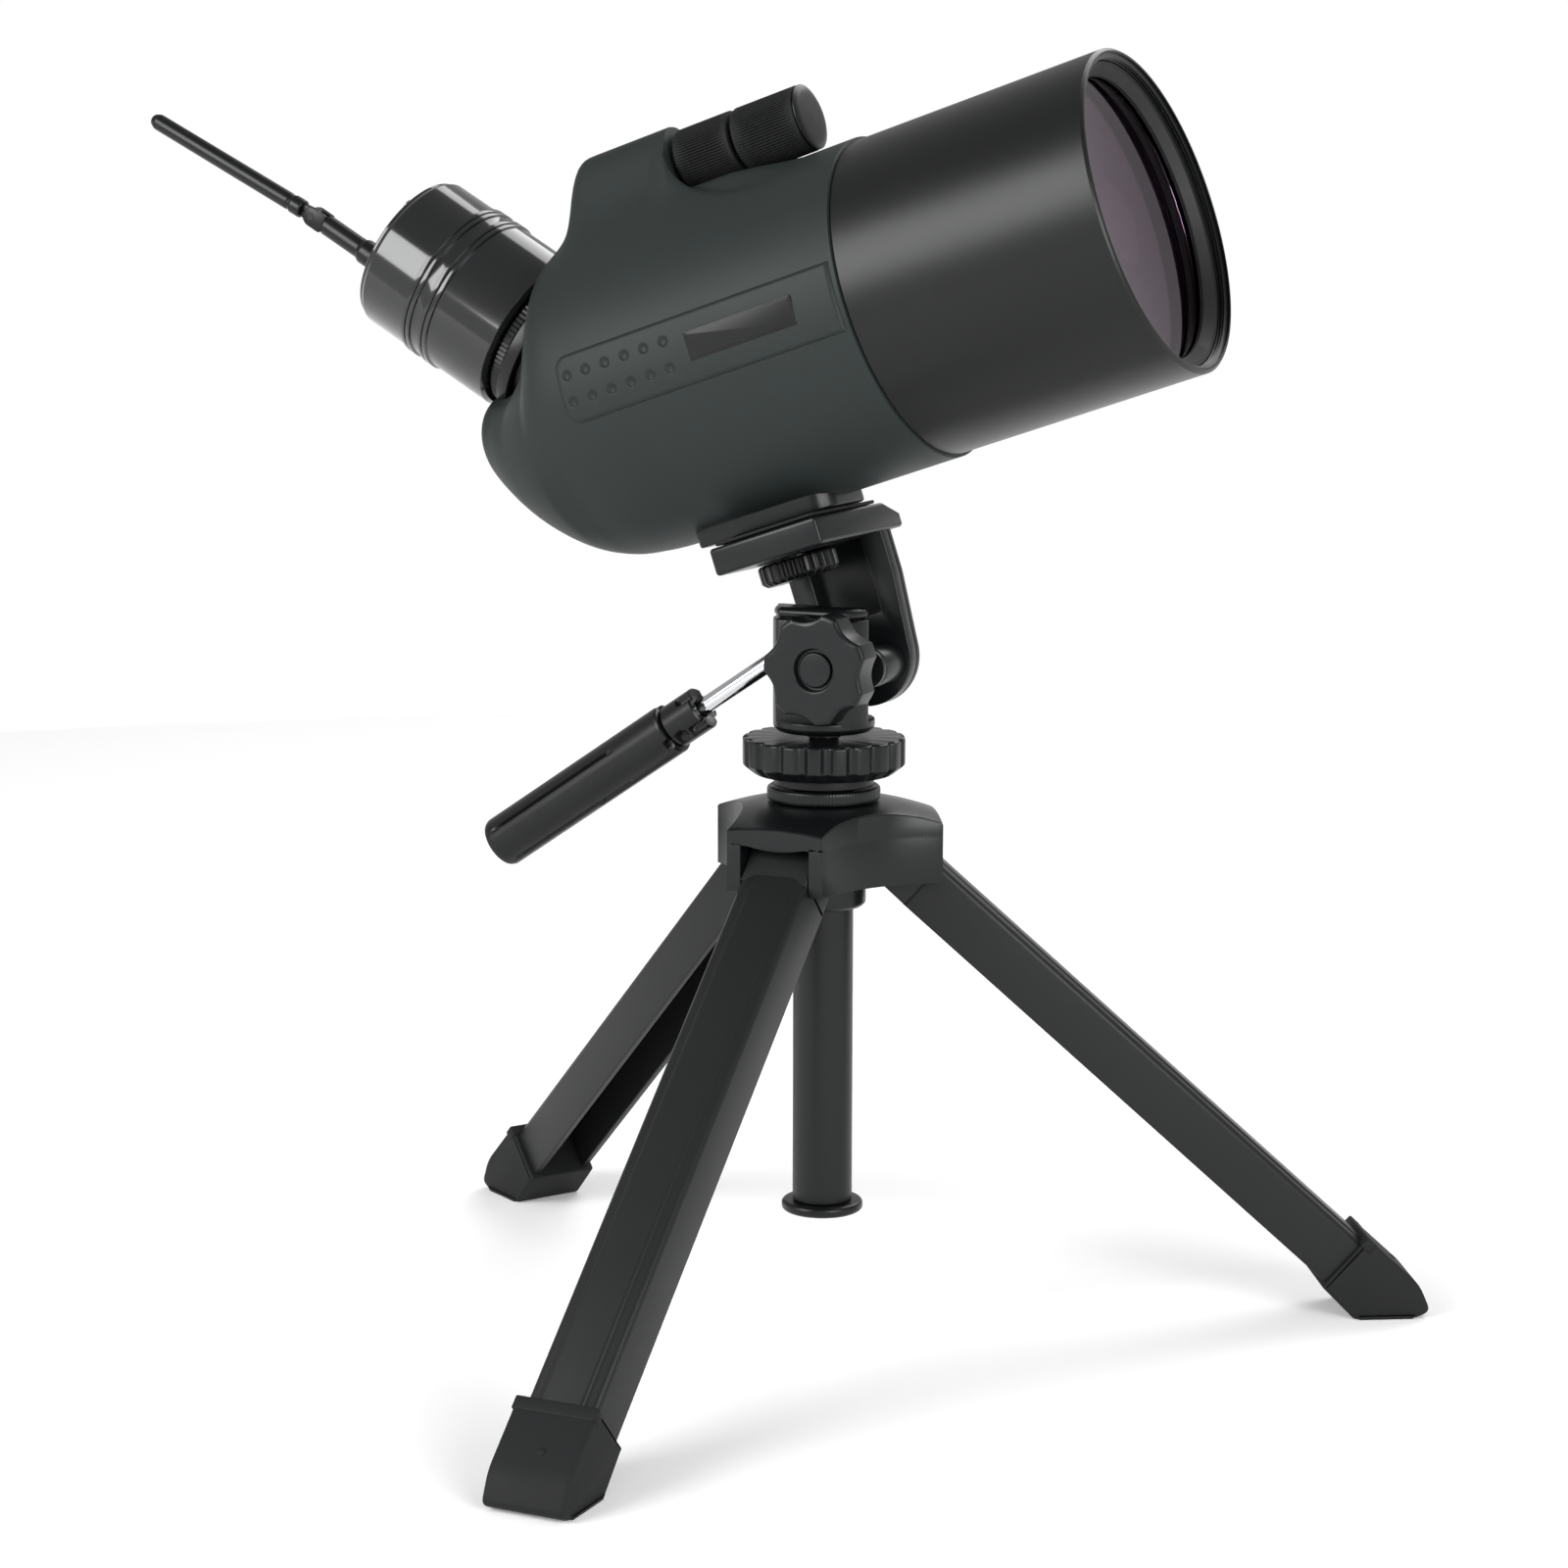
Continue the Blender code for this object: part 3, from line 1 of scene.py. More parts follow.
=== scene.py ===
"""Spotting scope with a wireless eyepiece camera on a tabletop tripod: the detailed surfaces.

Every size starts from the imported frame: each place below is measured on the CAD nodes and on
the joints' axes. Local shapes are worked out in millimetres and laid in the frame in metres.
"""
import bpy
import json
import math
import numpy as np
from bpy.props import FloatProperty, FloatVectorProperty, IntProperty, PointerProperty
from mathutils import Matrix, Vector


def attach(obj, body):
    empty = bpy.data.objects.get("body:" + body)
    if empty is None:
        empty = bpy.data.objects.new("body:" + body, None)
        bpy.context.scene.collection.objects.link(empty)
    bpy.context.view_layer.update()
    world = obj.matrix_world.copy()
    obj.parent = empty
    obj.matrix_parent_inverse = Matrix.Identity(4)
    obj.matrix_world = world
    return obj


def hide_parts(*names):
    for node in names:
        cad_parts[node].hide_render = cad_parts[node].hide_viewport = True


bl_info = {
    "name": "Tabletop Spotting Scope",
    "version": (1, 0, 0),
    "blender": (4, 5, 0),
    "location": "View3D > Sidebar > Scope",
    "description": "Builds a spotting scope with its eyepiece camera, pan and tilt head "
                   "and tripod",
    "category": "Add Mesh",
}

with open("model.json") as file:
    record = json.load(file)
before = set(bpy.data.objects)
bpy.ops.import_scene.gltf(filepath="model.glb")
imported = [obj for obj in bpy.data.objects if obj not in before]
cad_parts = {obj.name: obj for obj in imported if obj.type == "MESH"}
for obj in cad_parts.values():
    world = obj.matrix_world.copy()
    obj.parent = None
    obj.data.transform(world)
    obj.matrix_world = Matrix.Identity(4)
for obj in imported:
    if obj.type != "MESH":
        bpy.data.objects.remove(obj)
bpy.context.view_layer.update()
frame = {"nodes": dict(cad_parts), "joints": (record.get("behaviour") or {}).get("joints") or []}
MM = 0.001
TURN = 2 * math.pi
UP = (0.0, 0.0, 1.0)
SIDEWAYS = (0.0, 1.0, 0.0)
SEAM_GAP = 0.3          # between two pieces that touch, in millimetres like the sizes below

HUMP_LENGTH = 34.2      # crown of the focus hump behind its front wall
HUMP_WALL = 1.2         # run of that wall at the crown
HUMP_FLARE = 33.0       # how much longer it runs beside the focus wheels
HUMP_SPREAD = 16.2      # degrees from the crown to half the hump's height
HUMP_POWER = 3.2
RAIL_HEIGHT = 3.3       # ridges beside the focus wheels
RAIL_ANGLE = 15.8       # degrees from the crown to a ridge
DIMPLE_DEPTH = 0.6
STAR_LOBES = 7
SCREW_TEETH = 28
PAN_FLUTES = 20
ARM_THICKNESS = 7.0
ARM_POCKET = 10.4       # rise of the arm's pocket above the tilt axis
ARM_RIM = 6.7
BOSS_RADIUS = 5.5
LUG_RADIUS = 5.5        # short stub beside the tilt arm
LUG_FORWARD = 7.0
LUG_DROP = 1.2
LUG_REACH = 12.2
COLUMN_BORE = 8.6
HUB_FACE = 31.0         # column axis to a corner face
HUB_HALF_FACE = 13.96
HUB_WAIST = 22.5        # column axis to the middle of a hollow side
HUB_SEAT = 16.0         # flat seat round the column before the top falls away
HUB_FALL = 4.5          # fall of the top at the corners
HUB_FALL_RUN = 18.0
HUB_OVERLAP = 0.3       # between the dome and the notched lower part
HUB_SLEEVE = 11.6
HUB_SLEEVE_DROP = 8.2   # sleeve below the hub's floor
SLOT_HALF = 10.05
SLOT_END = 12.4         # column axis to a slot's inner end
SLOT_ROOF = 8.8         # above the leg pin
LINTEL_RADIUS = 38.0    # sagging edge over a slot
LINTEL_SAG = 1.4
LINTEL_SPAN = 15.2      # degrees either side of the edge's middle
LEG_WALL = 2.2
LEG_START = 6.8         # leg pin to the channel's upper end
KNUCKLE_END = 8.5

GROUND_TOLERANCE = 0.0002                   # metres: a foot's points this low are its sole
CAMERA_OFFSET = (0.413, -0.8925, 0.3185)    # metres from the column's foot
CAMERA_ROLL = 0.12                          # degrees


# ---- places measured on the frame -------------------------------------------------------
def node_points(node):
    """A CAD node's corners, in frame metres."""
    data = frame["nodes"][node].data
    corners = np.empty(len(data.vertices) * 3)
    data.vertices.foreach_get("co", corners)
    return corners.reshape(-1, 3)


class Place:
    """A local frame: an origin in metres and three unit axes, written as rows."""

    def __init__(self, origin, x, z):
        z = np.array(z, float) / np.linalg.norm(z)
        x = np.array(x, float) - z * np.dot(x, z)
        x = x / np.linalg.norm(x)
        self.origin = np.array(origin, float)
        self.axes = np.array([x, np.cross(z, x), z])

    def world(self, points):
        """Local millimetres to frame metres."""
        return self.origin + MM * np.asarray(points, float) @ self.axes

    def local(self, points):
        """Frame metres to local millimetres."""
        return (points - self.origin) @ self.axes.T / MM

    def reach(self, node):
        """Lowest and highest local coordinates of a CAD node, in millimetres."""
        local = self.local(node_points(node))
        return local.min(0), local.max(0)

    def moved(self, x=0.0, y=0.0, z=0.0):
        """The same axes with the origin moved by local millimetres."""
        made = Place(self.origin, self.axes[0], self.axes[2])
        made.origin = self.world([x, y, z])
        return made

    def along(self, axis):
        """The same origin with local Z laid along the local axis 'x' or 'y'."""
        if axis == "x":
            return Place(self.origin, self.axes[1], self.axes[0])
        return Place(self.origin, self.axes[2], self.axes[1])


JOINTS = {joint["name"]: joint for joint in frame["joints"]}


def optical_place():
    """Scope frame: X along the optical axis, Y sideways, origin at the seam's centre."""
    forward = np.array(JOINTS["coarse_focus_turn"]["axis"], float)
    up = np.cross(forward, SIDEWAYS)
    rough = Place((0, 0, 0), forward, up)
    low, high = rough.reach("front_tube")
    seam = rough.reach("body_shell")[1][0]
    centre = [seam + SEAM_GAP, (low[1] + high[1]) / 2, (low[2] + high[2]) / 2]
    return Place(rough.world(centre), forward, up)


SCOPE = optical_place()
TILT = Place(JOINTS["tilt"]["pos_m"], SCOPE.axes[0], SCOPE.axes[2])
PORT = Place(JOINTS["camera_rotation"]["pos_m"],
             np.cross(SIDEWAYS, JOINTS["camera_rotation"]["axis"]),
             JOINTS["camera_rotation"]["axis"])
FOCUS = Place(JOINTS["coarse_focus_turn"]["pos_m"], SCOPE.axes[0], SCOPE.axes[2])
COLUMN = Place([*JOINTS["pan"]["pos_m"][:2], 0.0], (1, 0, 0), UP)
HANDLE = Place(JOINTS["handle_twist"]["pos_m"], SIDEWAYS, JOINTS["handle_twist"]["axis"])
SCREW = Place(JOINTS["camera_screw_turn"]["pos_m"], SCOPE.axes[0],
              JOINTS["camera_screw_turn"]["axis"])


def leg_place(word, number):
    """Leg frame: X down the leg, Y along the pin; the slope is where the leg is thinnest."""
    joint = JOINTS["leg_%s_fold" % word]
    pin = np.array(joint["axis"], float)
    level = np.cross(pin, UP)
    best = None
    for slope in np.radians(np.arange(35, 50, 0.1)):
        down = level * math.cos(slope) - np.array(UP) * math.sin(slope)
        place = Place(joint["pos_m"], down, np.cross(down, pin))
        low, high = place.reach("leg_%d" % number)
        if best is None or high[2] - low[2] < best[0]:
            best = (high[2] - low[2], place)
    return best[1]


# ---- shells: points in millimetres and faces --------------------------------------------
class Shell:
    """Closed surfaces gathered for one piece: frame points and faces."""

    def __init__(self):
        self.points = []
        self.faces = []
        self.count = 0

    def add(self, place, points, faces):
        """Add local points and faces."""
        self.points.append(place.world(points))
        self.faces += [tuple(corner + self.count for corner in face) for face in faces]
        self.count += len(points)
        return self


def grid_faces(rows, columns, wrap_rows):
    """Quads between neighbouring rows and columns; columns always close on themselves."""
    last = rows if wrap_rows else rows - 1
    row, column = np.meshgrid(np.arange(last), np.arange(columns), indexing="ij")
    after = (column + 1) % columns
    below = (row + 1) % rows
    quads = np.stack([row * columns + column, row * columns + after,
                      below * columns + after, below * columns + column], axis=-1)
    return quads.reshape(-1, 4)


def skin(shell, place, rings, wrap_rows=False):
    """Rings (rows, columns, 3) become one closed surface; open ends get a flat polygon."""
    rows, columns = rings.shape[:2]
    faces = [tuple(face) for face in grid_faces(rows, columns, wrap_rows).tolist()]
    if not wrap_rows:
        faces.append(tuple(range(columns - 1, -1, -1)))
        faces.append(tuple(range((rows - 1) * columns, rows * columns)))
    return shell.add(place, rings.reshape(-1, 3), faces)


def softened(corners, radius, steps=4, closed=False):
    """Round each corner of a line by 'radius' with a quadratic curve through its tangents."""
    corners = np.asarray(corners, float)
    radius = np.broadcast_to(radius, len(corners))
    before = np.roll(corners, 1, axis=0) - corners
    after = np.roll(corners, -1, axis=0) - corners
    near = np.linalg.norm(before, axis=1)
    far = np.linalg.norm(after, axis=1)
    size = np.minimum(radius, 0.45 * np.minimum(near, far))
    start = corners + before / np.maximum(near, 1e-9)[:, None] * size[:, None]
    end = corners + after / np.maximum(far, 1e-9)[:, None] * size[:, None]
    t = np.linspace(0, 1, steps)[None, :, None]
    curve = ((1 - t) ** 2 * start[:, None] + 2 * t * (1 - t) * corners[:, None]
             + t ** 2 * end[:, None])
    if not closed:
        middle = curve[1:-1].reshape(-1, 2)
        return np.vstack([corners[:1], middle, corners[-1:]])
    return curve.reshape(-1, 2)


def turn(shell, place, profile, steps=96, ripple=None, closed=False):
    """Profile points (radius, height) carried once round local Z.

    With a ripple the radius at angle a and height h becomes radius - ripple(a, radius, h).
    The profile may run either way: its enclosed area, by the shoelace sum, gives the order
    of the rings that makes the faces point outwards.
    """
    profile = np.asarray(profile, float)
    angle = np.arange(steps) * TURN / steps
    radius = np.repeat(profile[:, :1], steps, axis=1)
    height = np.repeat(profile[:, 1:], steps, axis=1)
    if ripple is not None:
        radius = radius - ripple(angle[None, :], radius, height)
    radius = np.maximum(radius, 0.02)
    rings = np.stack([radius * np.cos(angle), radius * np.sin(angle), height], axis=-1)
    after = np.roll(profile, -1, axis=0)
    enclosed = (profile[:, 0] * after[:, 1] - after[:, 0] * profile[:, 1]).sum()
    return skin(shell, place, rings if enclosed > 0 else rings[::-1], wrap_rows=closed)


def outline_normals(outline):
    """Outward unit normals of an anticlockwise outline."""
    side = np.roll(outline, -1, axis=0) - np.roll(outline, 1, axis=0)
    side = side / np.maximum(np.linalg.norm(side, axis=1), 1e-9)[:, None]
    return np.stack([side[:, 1], -side[:, 0]], axis=1)


def slab(shell, place, outline, low, high, edge, steps=4):
    """An outline (x, y) raised from low to high, with both rims rounded by 'edge'."""
    outline = np.asarray(outline, float)
    normals = outline_normals(outline)
    angle = np.linspace(0, math.pi / 2, steps)
    inset = edge * (1 - np.cos(angle))[::-1]
    rise = edge * (1 - np.sin(angle))[::-1]
    insets = np.concatenate([inset, inset[::-1]])
    heights = np.concatenate([low + rise, high - rise[::-1]])
    flat = outline[None] - normals[None] * insets[:, None, None]
    level = np.broadcast_to(heights[:, None, None], flat.shape[:2] + (1,))
    rings = np.concatenate([flat, level], axis=-1)
    return skin(shell, place, rings)


def arc(centre, radius, start, end, steps=12):
    """Points on a circle from start to end degrees."""
    angle = np.radians(np.linspace(start, end, steps))
    return np.column_stack([centre[0] + radius * np.cos(angle),
                            centre[1] + radius * np.sin(angle)])


def resampled(outline, count):
    """Evenly spaced points round a closed outline."""
    closed = np.vstack([outline, outline[:1]])
    length = np.concatenate([[0], np.cumsum(np.linalg.norm(np.diff(closed, axis=0), axis=1))])
    at = np.linspace(0, length[-1], count, endpoint=False)
    return np.column_stack([np.interp(at, length, closed[:, 0]),
                            np.interp(at, length, closed[:, 1])])


def rectangle(x0, y0, x1, y1, radius, steps=5):
    """An anticlockwise rectangle with rounded corners."""
    return softened([(x0, y0), (x1, y0), (x1, y1), (x0, y1)], radius, steps, closed=True)


def shell_piece(name, shell, surface, body, slot, *replaced, angle=32.0):
    """Make the gathered shells one piece of the named finish that rides on its body.

    Edges whose faces differ by more than 'angle' degrees stay sharp.
    """
    mesh = bpy.data.meshes.new(name)
    mesh.from_pydata(np.concatenate(shell.points).tolist(), [], shell.faces)
    mesh.validate()
    mesh.shade_smooth()
    mesh.set_sharp_from_angle(angle=math.radians(angle))
    mesh.materials.append(finish_of(surface))
    piece = bpy.data.objects.new(name, mesh)
    bpy.context.scene.collection.objects.link(piece)
    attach(piece, body)
    if replaced:
        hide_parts(*replaced)
    return piece


def dress(surface, *nodes):
    """Give CAD nodes that stay the named finish."""
    for node in nodes:
        materials = frame["nodes"][node].data.materials
        materials.clear()
        materials.append(finish_of(surface))


# ---- materials --------------------------------------------------------------------------
def linear(code):
    """An sRGB hex colour as linear red, green and blue."""
    value = np.array([int(code[i:i + 2], 16) / 255 for i in (1, 3, 5)])
    return tuple(np.where(value <= 0.04045, value / 12.92, ((value + 0.055) / 1.055) ** 2.4))


def add(tree, kind, links=None, **settings):
    """Add a node, set its sockets or properties by name, and link its inputs."""
    made = tree.nodes.new(kind)
    for name, value in settings.items():
        socket = name.replace("_", " ")
        if hasattr(made, name):
            setattr(made, name, value)
        else:
            made.inputs[socket].default_value = value
    for name, source in (links or {}).items():
        tree.links.new(source, made.inputs[name])
    return made


def start_material(name, colour, roughness, metallic=0.0, **extra):
    """A Principled material, its tree, its shader and Object coordinates."""
    made = bpy.data.materials.new(name)
    made.use_nodes = True
    tree = made.node_tree
    shader = tree.nodes["Principled BSDF"]
    shader.inputs["Base Color"].default_value = (*colour, 1.0)
    shader.inputs["Roughness"].default_value = roughness
    shader.inputs["Metallic"].default_value = metallic
    for socket, value in extra.items():
        shader.inputs[socket.replace("_", " ")].default_value = value
    place = tree.nodes.new("ShaderNodeTexCoord").outputs["Object"]
    return made, tree, shader, place


def grain(tree, shader, place, size_mm, depth_mm, strength=0.5, detail=2.0):
    """Fine relief: noise whose blobs are size_mm across."""
    noise = add(tree, "ShaderNodeTexNoise", {"Vector": place}, Scale=1000 / size_mm,
                Detail=detail, Roughness=0.6)
    bump = add(tree, "ShaderNodeBump", {"Height": noise.outputs["Fac"]}, Strength=strength,
               Distance=depth_mm * MM)
    tree.links.new(bump.outputs["Normal"], shader.inputs["Normal"])


def mottled(tree, shader, place, colours, size_mm, rough):
    """Slow drift of colour and of roughness over size_mm."""
    noise = add(tree, "ShaderNodeTexNoise", {"Vector": place}, Scale=1000 / size_mm,
                Detail=3.0, Roughness=0.55)
    mix = add(tree, "ShaderNodeMix", {"Factor": noise.outputs["Fac"]}, data_type="RGBA")
    mix.inputs[6].default_value = (*colours[0], 1.0)
    mix.inputs[7].default_value = (*colours[1], 1.0)
    tree.links.new(mix.outputs[2], shader.inputs["Base Color"])
    spread = add(tree, "ShaderNodeMapRange", {"Value": noise.outputs["Fac"]})
    spread.inputs["To Min"].default_value = rough[0]
    spread.inputs["To Max"].default_value = rough[1]
    tree.links.new(spread.outputs["Result"], shader.inputs["Roughness"])


def shades(colour, spread=0.12):
    """A darker and a lighter version of a colour."""
    return [tuple(c * (1 - spread) for c in colour), tuple(c * (1 + spread) for c in colour)]


def finish_rows(finish):
    """Each finish: its name, material, colour, metallic, spread of colour, size of its drift
    in millimetres, lowest and highest roughness, grain (width and depth in millimetres,
    strength, detail) and other sockets.
    """
    return (
        # Thermoplastic rubber from a spark-eroded mould: soft matt skin with a sandy grain.
        ("armour", "soft_touch_rubber_armour", finish.armour, 0.0, 0.06, 26, (0.46, 0.56),
         (0.55, 0.05, 0.35), {"Specular_IOR_Level": 0.22}),
        # Aluminium, bead-blasted before it was anodised: satin black with a broad sheen.
        ("anodised", "satin_anodised_aluminium", finish.tube, 0.3, 0.08, 30, (0.33, 0.38),
         (0.4, 0.02, 0.25), {"Specular_IOR_Level": 0.4}),
        # Aluminium, turned and polished before it was anodised: near-mirror black.
        ("polished", "polished_anodised_aluminium", finish.camera, 0.35, 0.1, 40,
         (0.12, 0.15), None, {"Coat_Weight": 0.5, "Coat_Roughness": 0.08}),
        # Moulded ABS with an eroded mould texture: satin.
        ("abs", "moulded_abs", finish.plastic, 0.0, 0.08, 16, (0.28, 0.36),
         (0.7, 0.015, 0.2), {"Specular_IOR_Level": 0.3}),
        # Glass-filled nylon castings: satin with a faint flow pattern.
        ("nylon", "glass_filled_nylon", finish.head, 0.0, 0.07, 22, (0.27, 0.34),
         (0.6, 0.015, 0.2), {"Specular_IOR_Level": 0.3}),
        # Black polyester powder coat with its orange-peel surface.
        ("powder", "black_powder_coat", finish.legs, 0.0, 0.07, 24, (0.36, 0.44),
         (1.1, 0.04, 0.35, 1.0), {"Specular_IOR_Level": 0.24}),
        # Moulded rubber feet and ribbed wheels: matt and a little dusty.
        ("rubber", "moulded_rubber", finish.rubber, 0.0, 0.1, 9, (0.6, 0.74),
         (0.6, 0.02, 0.2), {"Specular_IOR_Level": 0.25}),
        # Chromium plating over steel: mirror bright, with faint wiping marks.
        ("chrome", "chromium_plate", linear("#DADBDD"), 1.0, 0.04, 6, (0.05, 0.1), None, {}),
        # Turned stainless steel: fine lathe lines, soft reflections.
        ("steel", "turned_steel", linear("#B9BABC"), 1.0, 0.06, 5, (0.2, 0.34),
         (0.3, 0.01, 0.3), {}),
        # Turned brass insert.
        ("brass", "turned_brass", linear("#B9924A"), 1.0, 0.08, 5, (0.24, 0.38), None, {}),
        # Front-silvered mirror.
        ("silver", "front_silvered_glass", linear("#D8D9DC"), 1.0, 0.02, 30, (0.03, 0.05),
         None, {}),
        # Blackened inner parts: matt black that swallows light.
        ("blackened", "blackened_metal", linear("#0C0D0E"), 0.0, 0.15, 10, (0.5, 0.7),
         (0.4, 0.03, 0.3), {}),
        # Green solder mask over fibreglass.
        ("board", "solder_mask", linear("#0F5A2C"), 0.0, 0.1, 4, (0.3, 0.5), None, {}),
    )


def coated_glass(coating):
    """Multi-coated optical glass: clear, with a painted reflection in its colour, a magenta that
    deepens towards grazing angles; the Specular Tint gives its real reflections the same hue.
    """
    glass, tree, shader, _ = start_material("multi_coated_glass", coating, 0.02, IOR=1.52,
                                            Transmission_Weight=1.0, Specular_IOR_Level=0.6)
    facing = add(tree, "ShaderNodeLayerWeight", Blend=0.5)
    # Painted reflection: the glass colour goes from pale to deep magenta by facing angle, standing
    # in for the coating's reflection.
    painted_reflection_tint = add(tree, "ShaderNodeMix", {"Factor": facing.outputs["Facing"]}, data_type="RGBA")
    painted_reflection_tint.inputs[6].default_value = (*linear("#D9C4E6"), 1.0)
    painted_reflection_tint.inputs[7].default_value = (*linear("#C98FB4"), 1.0)
    tree.links.new(painted_reflection_tint.outputs[2], shader.inputs["Base Color"])
    shader.inputs["Specular Tint"].default_value = (*linear("#D89CC4"), 1.0)
    return glass


def make_materials(finish):
    """Every finish on the object, by the name used below."""
    made = {"glass": coated_glass(finish.coating)}
    for name, title, colour, metallic, spread, drift, rough, relief, more in finish_rows(finish):
        surface, tree, shader, place = start_material(title, colour, sum(rough) / 2, metallic,
                                                      **more)
        mottled(tree, shader, place, shades(colour, spread), drift, rough)
        if relief:
            grain(tree, shader, place, *relief)
        made[name] = surface
    return made


MATERIALS = {}


def finish_of(name):
    """The shared material of that name; all of them are made on first use."""
    if not MATERIALS:
        MATERIALS.update(make_materials(bpy.context.scene.scope_finish))
    return MATERIALS[name]


# ---- settings ---------------------------------------------------------------------------
def colour_setting(label, code):
    """A colour property with an sRGB hex default."""
    return FloatVectorProperty(name=label, description=label + ", as a linear colour",
                               default=linear(code), subtype="COLOR", min=0.0, max=1.0)


def length_setting(label, text, value):
    """A length property in millimetres of the real object."""
    return FloatProperty(name=label, description=text + ", in millimetres", default=value,
                         min=0.0)


class ScopeFinish(bpy.types.PropertyGroup):
    """Colours of the object's finishes."""
    armour: colour_setting("Rubber armour", "#212726")
    tube: colour_setting("Tube anodising", "#111213")
    camera: colour_setting("Camera anodising", "#1A1B1C")
    plastic: colour_setting("Moulded plastic", "#0C0D0E")
    head: colour_setting("Head castings", "#0E1011")
    legs: colour_setting("Leg powder coat", "#1A1B1B")
    rubber: colour_setting("Black rubber", "#141516")
    coating: colour_setting("Lens coating", "#E9D6EE")


class ScopeSizes(bpy.types.PropertyGroup):
    """Detail sizes that the frame's solids do not carry."""
    rim_groove_pitch: length_setting("Rim thread pitch", "Pitch of the thread inside the rim",
                                     0.9)
    armour_step: length_setting("Armour step", "Height of the raised side panel", 0.8)
    dimple_pitch: length_setting("Dimple pitch", "Spacing of the grip dimples", 6.0)
    dimple_width: length_setting("Dimple width", "Diameter of a grip dimple", 2.5)
    knurl_count: IntProperty(name="Knurl count", default=72, min=12, max=200,
                             description="Ribs round each focus wheel")


class StageSettings(bpy.types.PropertyGroup):
    """Camera and light."""
    azimuth: FloatProperty(name="Azimuth", description="Camera direction round the object",
                           default=math.radians(25.46), subtype="ANGLE")
    elevation: FloatProperty(name="Elevation", description="Camera height above the horizon",
                             default=math.radians(9.66), subtype="ANGLE")
    focal_length: FloatProperty(name="Focal length", default=84.48, min=10.0,
                                description="Lens focal length on a 36 mm sensor")
    key_power: FloatProperty(name="Key light", default=30.0, min=0.0, unit="POWER",
                             description="Power of the large front light")
    floor_radius: FloatProperty(name="Floor radius", default=1.15, min=0.1, unit="LENGTH",
                                description="Radius of the round pale floor")
    floor_glow: FloatProperty(name="Floor glow", default=0.12, min=0.0,
                              description="How far the paper is lit from below")
    horizon_fall: FloatProperty(name="Low sky", default=0.5, min=0.0, max=1.0,
                                description="Brightness of the room just above the horizon")
    ceiling: FloatProperty(name="Ceiling", default=0.35, min=0.0, max=1.0,
                           description="Brightness of the room overhead")


# ---- scope ------------------------------------------------------------------------------
class SCOPE_OT_front_tube(bpy.types.Operator):
    """Front tube with its threaded rim, retaining ring and coated corrector lens"""
    bl_idname = "scope.front_tube"
    bl_label = "Front tube and lens"

    def execute(self, context):
        sizes = context.scene.scope_sizes
        axis = SCOPE.along("x")
        low, high = axis.reach("front_tube")
        radius = high[0]
        length = high[2]
        lens_low, lens_high = axis.reach("corrector_lens")
        ring_low, ring_high = axis.reach("lens_retaining_ring")
        bore = lens_high[0] + SEAM_GAP
        lip = [(bore + 1.3, length - 0.7), (radius - 1.6, length), (radius - 0.7, length),
               (radius, length - 0.8)]
        outer = [(radius, 0.1), (radius - 0.5, -0.3), (bore, -0.3), (bore, low[2]),
                 (bore - 2.0, low[2])]
        inner = [(bore - 2.0, 30.0), (bore, 34.0), (bore, ring_high[2] - 0.2)]
        pitch = sizes.rim_groove_pitch
        ridges = np.arange(ring_high[2] + 0.2, length - 1.6, pitch)
        thread = np.stack([np.stack([np.full_like(ridges, bore), ridges], axis=1),
                           np.stack([np.full_like(ridges, bore + 0.45), ridges + pitch * 0.35],
                                    axis=1),
                           np.stack([np.full_like(ridges, bore), ridges + pitch * 0.7],
                                    axis=1)], axis=1).reshape(-1, 2)
        profile = np.vstack([inner, thread, softened(lip, 0.5, 4), outer])
        shell = turn(Shell(), axis, profile, 160, closed=True)
        shell_piece("front_tube_shell", shell, "anodised", "scope",
                    "satin_black_metal", "front_tube", angle=40)

        inner_radius = bore - 3.2
        floor = ring_low[2]
        steps = np.linspace(0, 1, 6)[:, None]
        cone = np.hstack([inner_radius + (bore - 1.5 - inner_radius) * steps,
                          floor + 0.9 + (ring_high[2] - floor - 1.2) * steps])
        stairs = np.repeat(cone, 2, axis=0)[1:]
        stairs[:-1, 1] = np.minimum(stairs[:-1, 1], stairs[1:, 1])
        ring = np.vstack([[(bore - 0.3, floor)], [(bore - 0.3, ring_high[2])], stairs[::-1],
                          [(inner_radius, floor)]])
        shell = turn(Shell(), axis, ring, 128, closed=True)
        shell_piece("lens_ring_stepped", shell, "blackened", "scope", "black_abs",
                    "lens_retaining_ring", angle=25)

        share = np.linspace(0, 1, 14)[:, None]
        face = lens_high[2]
        sag = 2.2
        front = np.hstack([lens_high[0] * share, face - sag * (1 - share ** 2)])
        back = np.hstack([lens_high[0] * share[::-1], lens_low[2] + sag * share[::-1] ** 2])
        shell = turn(Shell(), axis, np.vstack([front, back]), 96)
        shell_piece("corrector_lens_glass", shell, "glass", "scope",
                    "coated_glass", "corrector_lens", angle=40)
        return {"FINISHED"}


def smooth_between(at, places, values):
    """A smooth curve through the values at the places: cubic Hermite pieces whose slopes
    are the differences of the neighbouring values.
    """
    places = np.asarray(places, float)
    values = np.asarray(values, float)
    index = np.clip(np.searchsorted(places, at) - 1, 0, len(places) - 2)
    share = np.clip((at - places[index]) / (places[index + 1] - places[index]), 0, 1)
    slopes = np.gradient(values, places)
    span = places[index + 1] - places[index]
    h00 = 2 * share ** 3 - 3 * share ** 2 + 1
    h10 = share ** 3 - 2 * share ** 2 + share
    h01 = -2 * share ** 3 + 3 * share ** 2
    h11 = share ** 3 - share ** 2
    return (h00 * values[index] + h10 * span * slopes[index] + h01 * values[index + 1]
            + h11 * span * slopes[index + 1])


